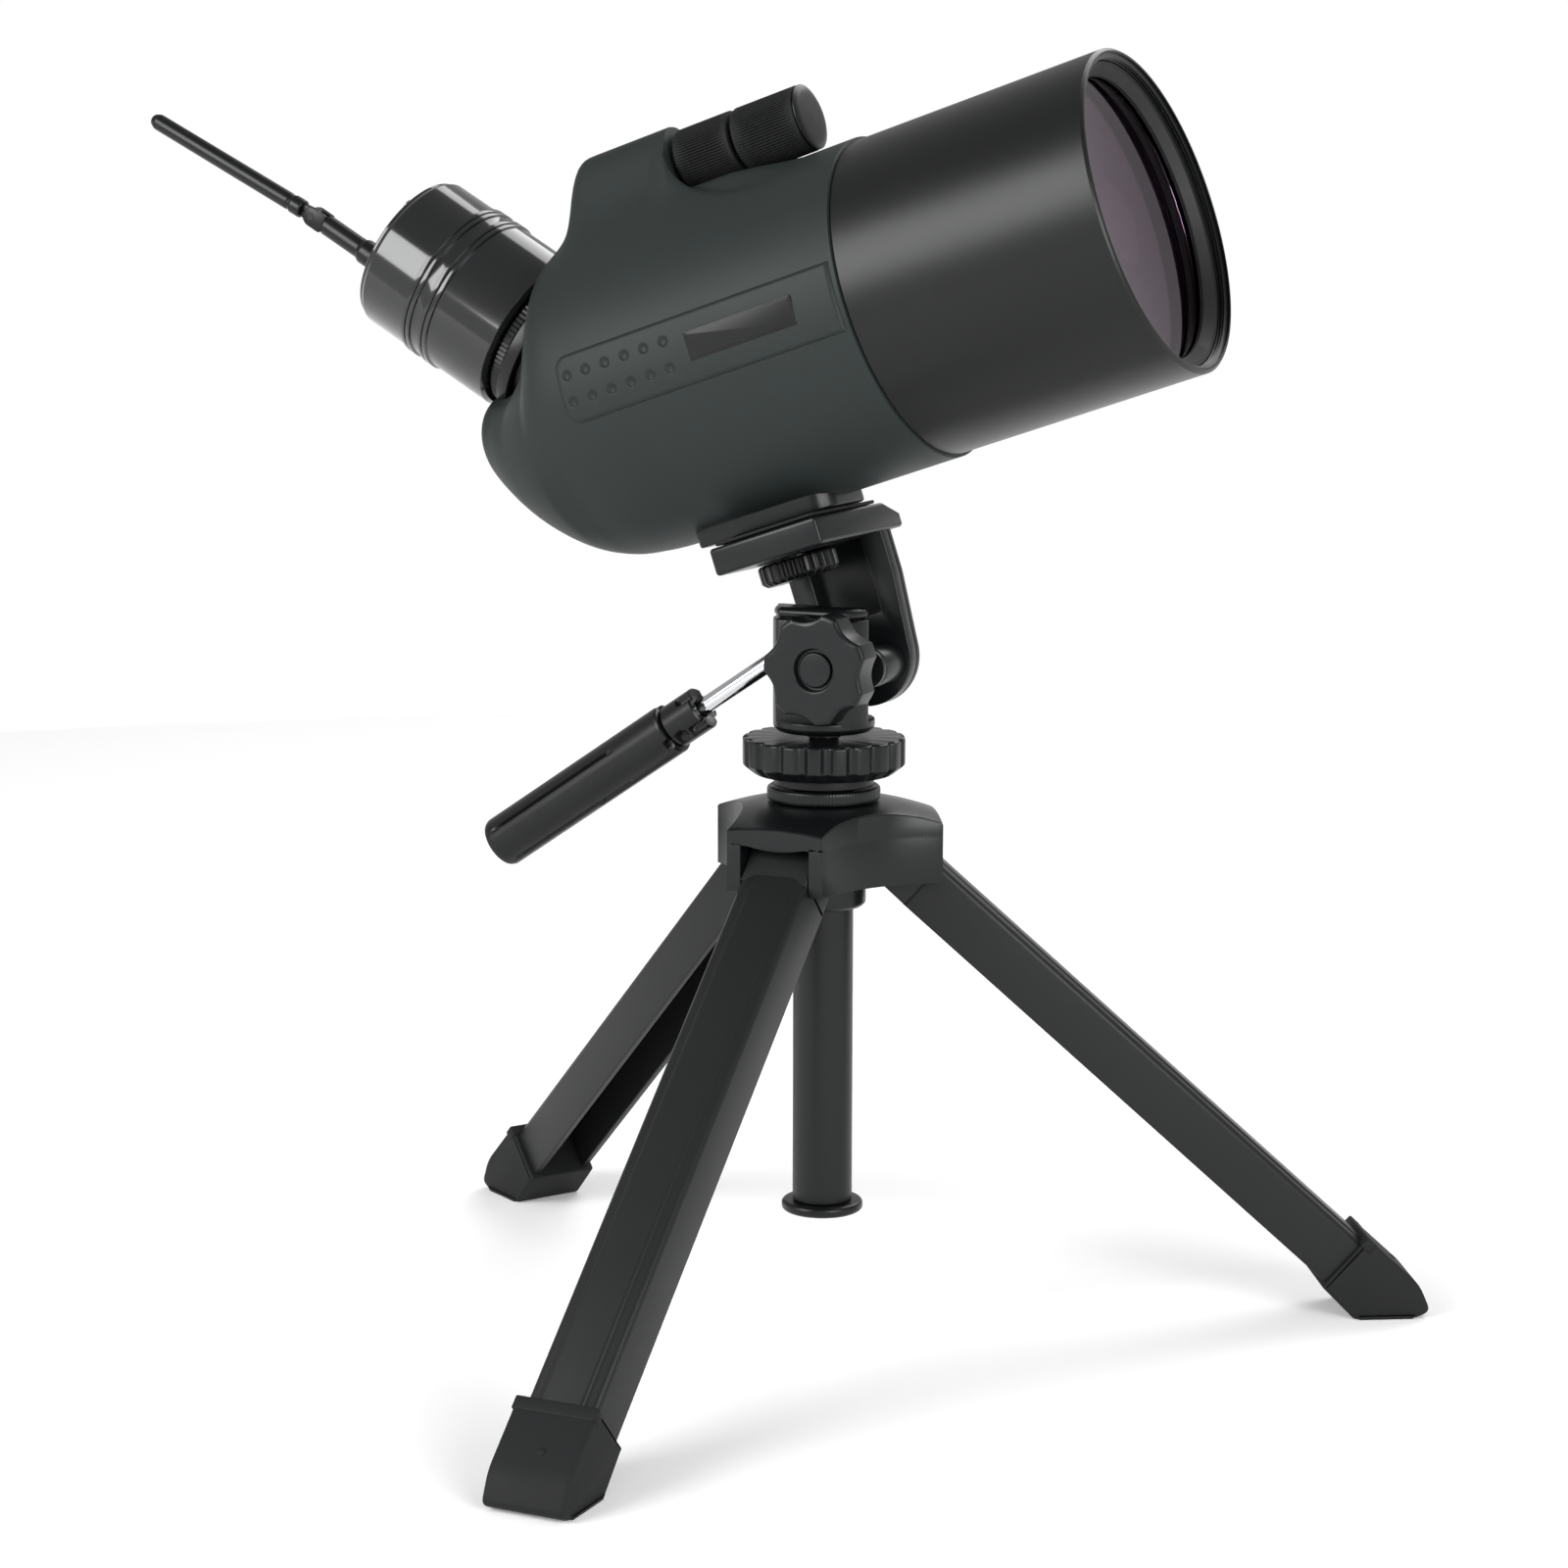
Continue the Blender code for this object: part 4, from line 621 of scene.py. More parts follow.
class BodyForm:
    """The armoured body as a surface of station (behind the seam) and angle.

    Each section is an ellipse between a top and a bottom line; the focus hump adds a lift
    that falls off as 1 / (1 + (angle from the crown / HUMP_SPREAD) ** HUMP_POWER), and a
    bell-shaped ridge rises on each side of the focus wheels.
    """

    def __init__(self):
        low, high = SCOPE.reach("body_shell")
        self.length = -low[0]
        self.full = high[1]
        port = SCOPE.local(PORT.origin)
        self.port_back = -port[0]
        self.port_rise = port[2]
        lean = PORT.axes[2] @ SCOPE.axes.T
        self.lean = -lean[2] / lean[0]
        self.hump_top = high[2]
        focus = SCOPE.reach("coarse_focus_wheel")
        self.hump_start = -focus[0][0] + 0.6

    def top(self, station):
        """Top line without the hump: tube height, shoulder, then the port's plane."""
        plane = self.port_rise + (self.port_back - station) / self.lean + 0.6
        shoulder = self.full * smooth_between(
            station / self.port_back, [0, 0.76, 0.82, 0.86, 0.895, 0.915, 0.935, 0.96, 1.0, 1.3],
            [1, 1, 1, 0.985, 0.92, 0.82, 0.70, 0.52, 0.4, 0.3])
        return np.minimum(self.full, np.maximum(plane, shoulder))

    def bottom(self, station):
        """Bottom line: the tube's, then rising to the rear."""
        return -self.full * smooth_between(station / self.length,
                                           [0, 0.5, 0.70, 0.76, 0.82, 0.90, 0.96, 1.0],
                                           [1, 1, 0.995, 0.965, 0.88, 0.65, 0.40, 0.17])

    def half(self, station):
        """Half the width: the tube's, then narrowing to the rear."""
        return self.full * smooth_between(station / self.length,
                                          [0, 0.5, 0.62, 0.74, 0.84, 0.92, 0.97, 1.0],
                                          [1, 1, 0.998, 0.95, 0.83, 0.66, 0.49, 0.30])

    def hump(self, station):
        """Height of the hump above the top line: zero before it, eased off behind it."""
        end = self.hump_start + HUMP_LENGTH
        share = smooth_between(station, [0, end - 9, end - 6.5, end - 4.2, end - 2, end + 0.2,
                                         end + 3.5, end + 9, 400],
                               [1, 1, 0.985, 0.91, 0.73, 0.38, 0.09, 0, 0])
        return (self.hump_top - self.full) * np.clip(share, 0, 1)

    def lifted(self, station, crown):
        """Share of the hump that stands: a steep wall at the crown that flares forward.

        The ramp runs over HUMP_WALL at the crown and HUMP_FLARE more beside the wheels.
        """
        flare = np.clip((crown - math.radians(13.5)) / math.radians(17), 0, 1)
        width = HUMP_WALL + HUMP_FLARE * flare ** 1.3
        share = np.clip((station - self.hump_start - HUMP_WALL + width) / width, 0, 1)
        return share ** 2 * (3 - 2 * share)

    def ring_points(self, station, angle, out=0.0):
        """Points (x, y, z) for station and angle arrays; angle 0 points to +Y."""
        top = self.top(station)
        bottom = self.bottom(station)
        top = np.maximum(top, bottom + 0.14 * self.full)
        tall = (top - bottom) / 2 + out
        wide = self.half(station) + out
        crown = np.abs(angle - math.pi / 2)
        fade = np.clip((math.radians(66) - crown) / math.radians(30), 0, 1)
        bell = fade ** 2 * (3 - 2 * fade) / (1 + (crown / math.radians(HUMP_SPREAD)) ** HUMP_POWER)
        lift = self.hump(station) * bell * self.lifted(station, crown)
        rail = np.clip((station - self.hump_start + 44) / 30, 0, 1)
        rail = rail ** 2 * (3 - 2 * rail) * np.clip((self.hump_start + 6 - station) / 6, 0, 1)
        side = np.degrees(crown) - RAIL_ANGLE
        lift = lift + RAIL_HEIGHT * rail * np.exp(-(side / np.where(side < 0, 2.6, 7.5)) ** 2)
        z = (top + bottom) / 2 + tall * np.sin(angle) + lift
        return np.stack(np.broadcast_arrays(-station, wide * np.cos(angle), z), axis=-1)


class SCOPE_OT_body(bpy.types.Operator):
    """Rubber-armoured body with its focus hump, side panels and grip dimples"""
    bl_idname = "scope.body"
    bl_label = "Armoured body"

    def execute(self, context):
        sizes = context.scene.scope_sizes
        form = BodyForm()
        start = form.hump_start
        angle = np.arange(240) * TURN / 240
        front = np.linspace(0.9, start - 0.4, 60)
        wall = start + np.linspace(-0.2, 1.4, 14)
        rear = np.linspace(start + 1.8, form.length - 7.0, 100)
        tail = form.length - 7.0 + 7.0 * np.sin(np.linspace(0.12, math.pi / 2, 12))
        station = np.concatenate([[0.3, 0.45], front, wall, rear, tail])
        inset = np.zeros(len(station))
        inset[0] = -0.5
        rings = form.ring_points(station[:, None], angle[None, :], inset[:, None])
        tip = np.linspace(1, 0, 12) ** 0.5
        centre = rings[-12:].mean(axis=1, keepdims=True)
        shrink = np.concatenate([[1.0], 1 - (1 - tip[1:]) * 0.92])[:, None, None]
        rings[-12:, :, 1:] = (centre + (rings[-12:] - centre) * shrink)[:, :, 1:]
        body = Shell()
        skin(body, SCOPE, rings[::-1])
        shell_piece("body_armour", body, "armour", "scope", "rubber_armour",
                    "body_shell", angle=38)
        for side, word in ((-1, "right"), (1, "left")):
            self.panel(form, sizes, side, word)
        return {"FINISHED"}

    def panel(self, form, sizes, side, word):
        """Raised side panel: the body's own surface pushed out, with two rows of dimples."""
        low, high = SCOPE.reach("name_plate_left")
        start, end = 1.6, 85.4
        bottom, top = low[2] - 5.6, high[2] + 5.0
        along = np.linspace(start, end, 260)[:, None]
        across = np.linspace(bottom, top, 64)[None, :]
        corner = 4.0
        past = np.maximum(along - (end - corner), 0)
        over = np.maximum(np.abs(across - (bottom + top) / 2) - ((top - bottom) / 2 - corner), 0)
        rim = np.minimum(np.minimum((top - bottom) / 2 - np.abs(across - (bottom + top) / 2),
                                    end - along), 100.0)
        rounded = corner - np.hypot(past, over)
        rim = np.where((past > 0) & (over > 0), rounded, rim)
        rim = np.clip(np.minimum(rim, along - start), 0, 1.2) / 1.2
        height = sizes.armour_step * np.sin(rim * math.pi / 2)
        first = -low[0] + 6.4
        steps = np.clip(np.round((along - first) / sizes.dimple_pitch), 0, 5)
        centre = first + steps * sizes.dimple_pitch
        for row in (bottom + 5.8, bottom + 12.8):
            gap = np.hypot(along - centre, across - row) / (sizes.dimple_width / 2)
            height = height - DIMPLE_DEPTH * np.clip(1.15 - gap ** 2, 0, 1) ** 0.5
        lift = height + 0.02
        middle = (form.top(along) + form.bottom(along)) / 2
        tall = (form.top(along) - form.bottom(along)) / 2
        sine = np.clip((across - middle) / tall, -1, 1)
        angle = np.arcsin(sine)
        wide = form.half(along) + lift
        outer = np.stack(np.broadcast_arrays(-along, side * wide * np.cos(angle),
                                             middle + (tall + lift) * sine), axis=-1)
        inner = outer.copy()
        inner[..., 1] -= side * (height + 1.2)
        loop = np.concatenate([outer, inner[:, ::-1]], axis=1)
        if side > 0:
            loop = loop[:, ::-1]
        shell = Shell()
        skin(shell, SCOPE, loop)
        shell_piece("side_panel_" + word, shell, "armour", "scope",
                    "rubber_armour", angle=50)


class SCOPE_OT_name_plates(bpy.types.Operator):
    """Blank name plates let into the side panels"""
    bl_idname = "scope.name_plates"
    bl_label = "Blank name plates"

    def execute(self, context):
        form = BodyForm()
        for side, node in ((-1, "name_plate_left"), (1, "name_plate_right")):
            low, high = SCOPE.reach(node)
            shell = Shell()
            face = form.full + context.scene.scope_sizes.armour_step
            outline = rectangle(low[0], low[2], high[0], high[2], 0.5)
            rim = rectangle(low[0] + 0.55, low[2] + 0.55, high[0] - 0.55, high[2] - 0.55, 0.4)
            if side > 0:
                outline = (outline * [1, -1])[::-1]
                rim = (rim * [1, -1])[::-1]
            place = Place(SCOPE.origin, SCOPE.axes[0], side * SCOPE.axes[1])
            slab(shell, place, outline, face - 2.0, face + 0.12, 0.15)
            slab(shell, place, rim, face - 1.0, face + 0.26, 0.1)
            shell_piece("blank_plate_" + ("near" if side < 0 else "far"), shell,
                        "abs", "scope", "satin_black_metal", node)
        return {"FINISHED"}


class SCOPE_OT_mount_foot(bpy.types.Operator):
    """Mounting foot under the body"""
    bl_idname = "scope.mount_foot"
    bl_label = "Mounting foot"

    def execute(self, context):
        low, high = SCOPE.reach("mount_foot")
        shell = Shell()
        outline = softened([(low[0], low[1]), (high[0] - 4, low[1]), (high[0], low[1] + 4),
                            (high[0], high[1] - 4), (high[0] - 4, high[1]),
                            (low[0], high[1])], 2.0, 5, closed=True)
        slab(shell, SCOPE, outline, low[2], high[2], 0.7)
        shell_piece("mount_foot_block", shell, "nylon", "scope", "leg_metal",
                    "mount_foot")
        return {"FINISHED"}


class SCOPE_OT_focus(bpy.types.Operator):
    """Knurled coarse and fine focus wheels in line"""
    bl_idname = "scope.focus"
    bl_label = "Focus wheels"

    def execute(self, context):
        count = context.scene.scope_sizes.knurl_count
        axis = FOCUS.along("x")
        for node, body, name in (("coarse_focus_wheel", "coarse_focus", "coarse_wheel_rubber"),
                                 ("fine_focus_wheel", "fine_focus", "fine_wheel_rubber")):
            low, high = axis.reach(node)
            radius = high[0]
            start, end = low[2], high[2]

            def rib(angle, size, height):
                """Ribs along the wheel: a clipped cosine, faded out at both ends."""
                edge = np.clip(np.minimum(height - start - 0.9, end - 0.9 - height) / 0.5, 0, 1)
                wave = np.clip(np.cos(angle * count) * 1.6, -1, 1)
                return 0.32 * (1 - wave) * edge * (size > radius - 1)

            rows = np.linspace(start + 0.9, end - 0.9, 9)
            profile = np.vstack([[(0.0, start), (radius - 1.0, start),
                                  (radius - 0.25, start + 0.3), (radius, start + 0.8)],
                                 np.stack([np.full_like(rows, radius), rows], axis=1),
                                 [(radius, end - 0.8), (radius - 0.25, end - 0.2),
                                  (radius - 1.0, end), (0.0, end)]])
            shell = turn(Shell(), axis, profile, count * 6, rib)
            shell_piece(name, shell, "rubber", body, "black_rubber", node, angle=40)
        low, high = axis.reach("focus_end_cap")
        radius = high[0]
        top = high[2]
        dome = np.linspace(0, 1, 8)[:, None]
        crown = np.hstack([(radius - 0.9) * (1 - dome), top - 0.45 + 0.45 * dome ** 0.5])
        profile = np.vstack([[(0.0, low[2]), (radius - 4.4, low[2]), (radius - 4.4, top - 1.1),
                              (radius, top - 1.1), (radius, top - 0.9)], crown])
        shell = turn(Shell(), axis, profile, 96)
        shell_piece("fine_wheel_cap", shell, "abs", "fine_focus", "black_abs",
                    "focus_end_cap", angle=30)
        return {"FINISHED"}


# ---- eyepiece camera --------------------------------------------------------------------
class SCOPE_OT_eyepiece_camera(bpy.types.Operator):
    """Wireless eyepiece camera: collar, barrel, polished shell and rear cover"""
    bl_idname = "scope.eyepiece_camera"
    bl_label = "Eyepiece camera"

    def execute(self, context):
        low, high = PORT.reach("eyepiece_collar")
        radius = high[0]
        sleeve = radius - 2.9
        bore = sleeve - 2.3
        face = high[2]
        collar = softened([(sleeve, low[2]), (sleeve, 0.3), (radius, 0.3), (radius, face),
                           (bore, face), (bore, low[2])], 0.5, 4, closed=True)
        shell = turn(Shell(), PORT, collar, 112, closed=True)
        shell_piece("eyepiece_collar_ring", shell, "abs", "scope", "black_abs",
                    "eyepiece_collar", angle=40)

        low, high = PORT.reach("camera_barrel")
        front = PORT.reach("camera_shell")[0][2]
        flange = high[0]
        tube = bore - 0.35

        def knurl(angle, size, height):
            """Fine ridges on the flange alone: 1 - cos(90 angle)."""
            return 0.14 * (1 - np.cos(angle * 90)) * (size > flange - 0.6)

        barrel = [(tube, low[2]), (tube, face + 0.3), (flange - 0.4, face + 0.3),
                  (flange, face + 0.6), (flange, front - 0.6), (flange - 0.4, front - 0.3),
                  (tube + 1.2, front - 0.3), (tube + 1.2, high[2]), (tube - 2, high[2]),
                  (tube - 2, low[2])]
        shell = turn(Shell(), PORT, barrel, 360, knurl, closed=True)
        shell_piece("camera_barrel_ring", shell, "abs", "eyepiece_camera",
                    "satin_black_metal", "camera_barrel", angle=40)

        low, high = PORT.reach("camera_shell")
        radius = high[0] - 0.6
        top = high[2] + 0.2
        wall = radius - 1.8
        line = [(wall - 4, low[2]), (radius - 1.1, low[2]), (radius, low[2] + 1.1)]
        for band in (28.3, 34.3):
            line += [(radius, band - 0.15), (radius + 0.6, band), (radius + 0.6, band + 1.25),
                     (radius + 0.15, band + 1.4), (radius + 0.15, band + 1.6),
                     (radius + 0.6, band + 1.75), (radius + 0.6, band + 3.0),
                     (radius, band + 3.15)]
        line += [(radius, top - 2.4), (radius - 0.9, top - 1.2), (radius - 0.9, top - 0.5),
                 (radius - 1.3, top - 0.2), (wall, top - 0.2), (wall, low[2] + 2.4),
                 (wall - 4, low[2] + 2.4)]
        shell = turn(Shell(), PORT, softened(line, 0.12, 4, closed=True), 192, closed=True)
        shell_piece("camera_shell_polished", shell, "polished", "eyepiece_camera",
                    "gloss_black_metal", "camera_shell", angle=40)

        low, high = PORT.reach("camera_rear_cover")
        edge = high[0]
        cover = [(0, low[2]), (edge, low[2]), (edge, high[2] - 0.35), (edge - 0.35, high[2]),
                 (edge - 2.6, high[2]), (edge - 2.8, high[2] - 0.25), (edge - 3.2, high[2] - 0.25),
                 (edge - 3.4, high[2]), (0, high[2])]
        shell = turn(Shell(), PORT, cover, 128)
        shell_piece("camera_rear_disc", shell, "polished", "eyepiece_camera",
                    "black_abs", "camera_rear_cover", angle=35)
        return {"FINISHED"}


class SCOPE_OT_button_and_antenna(bpy.types.Operator):
    """Power button, antenna socket and folding antenna rod"""
    bl_idname = "scope.button_and_antenna"
    bl_label = "Button and antenna"

    def execute(self, context):
        low, high = PORT.reach("power_button")
        centre = PORT.moved(*((low + high) / 2 * [1, 1, 0]))
        radius = (high[0] - low[0]) / 2 - 0.8
        top = high[2]
        button = [(0, low[2]), (radius + 0.8, low[2]), (radius + 0.8, low[2] + 1.2),
                  (radius, low[2] + 1.3), (radius, top - 0.45), (radius - 0.35, top - 0.08),
                  (radius - 0.9, top), (radius - 1.0, top - 0.15), (0, top - 0.2)]
        shell = turn(Shell(), centre, button, 64)
        shell_piece("power_button_cap", shell, "steel", "power_button", "steel",
                    "power_button", angle=30)

        foot = Place(JOINTS["antenna_swivel"]["pos_m"], PORT.axes[0], PORT.axes[2])
        low, high = foot.reach("antenna_base")
        big = high[0]
        slim = big - 0.7
        fork = foot.local(np.array(JOINTS["antenna_fold"]["pos_m"]))[2]
        shell = Shell()

        line = softened([(0, 0.3), (big - 0.3, 0.3), (big, 0.7), (big, 12.6), (slim, 14.0),
                         (slim, fork - 4.6), (slim - 0.4, fork - 4.0), (0, fork - 4.0)], 0.3, 4)
        turn(shell, foot, line, 64)
        stud = [(0, low[2]), (2.0, low[2]), (2.0, 0.4), (0, 0.4)]
        turn(shell, foot, stud, 48)
        cheek = softened([(-2.7, fork - 4.4), (2.7, fork - 4.4), (2.7, fork + 0.8),
                          (1.6, fork + 2.5), (-1.6, fork + 2.5), (-2.7, fork + 0.8)], 0.8, 5,
                         closed=True)
        side = Place(foot.origin, foot.axes[0], -foot.axes[1])
        for near, far in ((-2.5, -1.5), (1.5, 2.5)):
            slab(shell, side, cheek, near, far, 0.3)
        shell_piece("antenna_socket", shell, "abs", "antenna_foot", "black_abs",
                    "antenna_base", angle=35)

        pin = Place(JOINTS["antenna_fold"]["pos_m"], PORT.axes[0], PORT.axes[1])
        shell = turn(Shell(), pin, [(0, -2.7), (0.9, -2.7), (1.1, -2.5), (1.1, 2.5),
                                    (0.9, 2.7), (0, 2.7)], 32)
        shell_piece("antenna_hinge_pin", shell, "blackened", "antenna_foot", "brass",
                    "antenna_pin")

        corners = node_points("antenna_rod")
        base = np.array(JOINTS["antenna_fold"]["pos_m"])
        far = corners[np.argsort(np.linalg.norm(corners - base, axis=1))[-40:]].mean(axis=0)
        whip = Place(base, PORT.axes[0], far - base)
        low, high = whip.reach("antenna_rod")
        length = high[2]
        wide = 2.45
        shell = Shell()
        line = softened([(0, 4.4), (wide, 4.4), (wide + 0.2, 4.8), (wide + 0.2, 8.0),
                         (wide - 0.25, 8.6), (wide, 9.4), (wide - 0.1, length - 2.2),
                         (wide - 0.9, length - 0.5), (0, length)], 0.5, 4)
        turn(shell, whip, line, 64)
        tongue = np.vstack([[(-1.7, 5.2)], arc((0, 0), 2.2, 180, 360, 14), [(1.7, 5.2)]])
        flat = Place(base, whip.axes[0], -whip.axes[1])
        slab(shell, flat, tongue, -1.15, 1.15, 0.25)
        shell_piece("antenna_whip", shell, "abs", "antenna_whip", "black_abs",
                    "antenna_rod", angle=35)
        return {"FINISHED"}


# ---- head -------------------------------------------------------------------------------
def notched(angle, count, spread, offset=0.0):
    """1 in the middle of each of 'count' hollows, 0 on the lobes between, with crisp edges."""
    share = (angle / TURN * count + offset) % 1.0
    away = np.abs(share - 0.5) * 2
    return np.clip(1 - (away / spread) ** 2, 0, 1)


class SCOPE_OT_platform(bpy.types.Operator):
    """L-shaped tilt platform with its ribbed arm, pad and camera screw wheel"""
    bl_idname = "scope.platform"
    bl_label = "Tilt platform"

    def execute(self, context):
        low, high = TILT.reach("tilt_platform")
        half = high[0]
        top = high[2]
        under = top - 7.5
        shell = Shell()
        across = Place(TILT.origin, TILT.axes[1], TILT.axes[0])
        edge = high[1] - 9.0
        section = softened([(low[1], under), (high[1], under), (high[1], top - 3.6),
                            (edge, top), (low[1], top)], [1.2, 1.2, 0.8, 0.8, 1.2], 5,
                           closed=True)
        slab(shell, across, section, -half, half, 0.9)
        knob_back = TILT.reach("tilt_star_knob")[1][1]
        arm_outer = TILT.reach("tilt_bolt")[1][1] + 2.3
        arm_inner = arm_outer - ARM_THICKNESS
        round_end = -low[2]
        side = Place(TILT.origin, TILT.axes[0], -TILT.axes[1])
        top_half = half - 0.7
        bend = arc((0, 0), round_end, 180, 360, 26)
        arm = np.vstack([bend,
                         [(top_half, under * 0.62), (top_half, under + 2),
                          (-top_half, under + 2), (-top_half, under * 0.62)]])
        arm = resampled(softened(arm, 1.0, 3, closed=True), 160)
        slab(shell, side, arm, -arm_outer, -(arm_inner + 3.8), 0.9)
        notch = np.vstack([bend,
                           [(top_half, under * 0.62), (top_half, under + 2),
                            (top_half - ARM_RIM, under + 2), (top_half - ARM_RIM, ARM_POCKET),
                            (ARM_RIM - top_half, ARM_POCKET), (ARM_RIM - top_half, under + 2),
                            (-top_half, under + 2), (-top_half, under * 0.62)]])
        notch = softened(notch, 0.8, 4, closed=True)
        slab(shell, side, notch, -(arm_inner + 4.2), -arm_inner, 0.5)
        barrel = TILT.along("y")
        back = knob_back + 10.2
        root = arm_inner + 1.0
        line = softened([(0, back), (BOSS_RADIUS, back), (BOSS_RADIUS, root), (0, root)], 0.5, 4)
        turn(shell, barrel, line, 72)
        shell_piece("tilt_platform_casting", shell, "nylon", "scope", "black_abs",
                    "tilt_platform", angle=35)

        low, high = TILT.reach("platform_pad")
        shell = Shell()
        slab(shell, TILT, rectangle(low[0], low[1], high[0], high[1], 1.5), low[2], high[2],
             0.25)
        shell_piece("platform_pad_rubber", shell, "rubber", "scope",
                    "black_rubber", "platform_pad")

        low, high = SCREW.reach("camera_screw_wheel")
        radius = high[0]

        def tooth(angle, size, height):
            """Notches of even depth in the wheel's rim."""
            return 0.95 * notched(angle, SCREW_TEETH, 0.66) * (size > radius - 1.2)

        line = softened([(0, low[2]), (radius - 1.4, low[2]), (radius, low[2] + 1.2),
                         (radius, high[2] - 0.6), (radius - 0.6, high[2]), (0, high[2])],
                        0.4, 4)
        shell = turn(Shell(), SCREW, line, SCREW_TEETH * 12, tooth)
        shell_piece("camera_screw_thumb_wheel", shell, "abs", "screw", "black_abs",
                    "camera_screw_wheel", angle=35)
        return {"FINISHED"}


class SCOPE_OT_star_knob(bpy.types.Operator):
    """Lobed tilt lock knob with its recessed centre"""
    bl_idname = "scope.star_knob"
    bl_label = "Tilt lock knob"

    def execute(self, context):
        place = Place(JOINTS["tilt_knob_turn"]["pos_m"], (1, 0, 0), (0, -1, 0))
        low, high = place.reach("tilt_star_knob")
        radius = max(high[0], high[1], -low[0], -low[1])
        front = high[2]
        back = low[2]

        def hollow(angle, size, height):
            """Hollows between the lobes, running out towards the hub."""
            depth = 1.9 * notched(angle, STAR_LOBES, 0.70, 0.575)
            return depth * np.clip((size - 10.5) / 3.0, 0, 1)

        line = softened([(0, front - 0.7), (4.5, front - 0.7), (4.7, front - 1.9),
                         (5.5, front - 1.9), (5.8, front - 0.1), (6.2, front),
                         (radius - 1.2, front), (radius - 0.3, front - 0.35),
                         (radius, front - 1.0), (radius, back + 0.8), (radius - 0.8, back),
                         (0, back)], 0.25, 4)
        shell = turn(Shell(), place, line, STAR_LOBES * 40, hollow)
        shell_piece("tilt_knob_star", shell, "nylon", "tilt_knob", "black_abs",
                    "tilt_star_knob", angle=34)
        return {"FINISHED"}


class SCOPE_OT_housing(bpy.types.Operator):
    """Pan housing: round base, flat-sided upright and crown"""
    bl_idname = "scope.housing"
    bl_label = "Pan housing"

    def execute(self, context):
        low, high = COLUMN.reach("pan_housing")
        radius = high[0]
        floor = low[2]
        roof = high[2]
        crown_low, crown_high = COLUMN.reach("housing_crown")
        pivot = JOINTS["tilt_knob_turn"]["pos_m"]
        shell = Shell()
        base_top = pivot[2] / MM - 15.5
        line = softened([(0, floor), (radius - 1.3, floor), (radius, floor + 1.3),
                         (radius, base_top - 0.3), (radius - 0.3, base_top), (0, base_top)],
                        0.5, 4)
        turn(shell, COLUMN, line, 96)
        upright = self.clipped(radius, crown_low[1], crown_high[1])
        slab(shell, COLUMN, upright, base_top - 1.5, roof, 0.5)
        lug_place = Place((pivot[0], COLUMN.origin[1], pivot[2]), (1, 0, 0), (0, -1, 0))
        lug_place = lug_place.moved(x=LUG_FORWARD, y=-LUG_DROP)
        root = 1.0 - crown_high[1]
        lug = softened([(0, -LUG_REACH), (LUG_RADIUS, -LUG_REACH), (LUG_RADIUS, -0.3),
                        (LUG_RADIUS - 0.5, -0.1), (LUG_RADIUS - 0.5, 0.3), (LUG_RADIUS, 0.5),
                        (LUG_RADIUS, root), (0, root)], 0.15, 3)
        turn(shell, lug_place, lug, 64)
        shell_piece("pan_housing_casting", shell, "nylon", "pan_head", "black_abs",
                    "pan_housing", angle=35)
        shell = Shell()
        cap = self.clipped(radius - 0.3, crown_low[1], crown_high[1])
        slab(shell, COLUMN, cap, crown_low[2], crown_high[2], 1.6, 7)
        shell_piece("pan_housing_crown", shell, "nylon", "pan_head", "black_abs",
                    "housing_crown", angle=40)
        return {"FINISHED"}

    def clipped(self, radius, front, back):
        """A circle cut by two straight lines y = front and y = back, evenly resampled."""
        angle = np.arange(240) * TURN / 240
        outline = np.stack([radius * np.cos(angle),
                            np.clip(radius * np.sin(angle), front, back)], axis=1)
        keep = np.linalg.norm(outline - np.roll(outline, 1, axis=0), axis=1) > 0.05
        return resampled(outline[keep], 120)


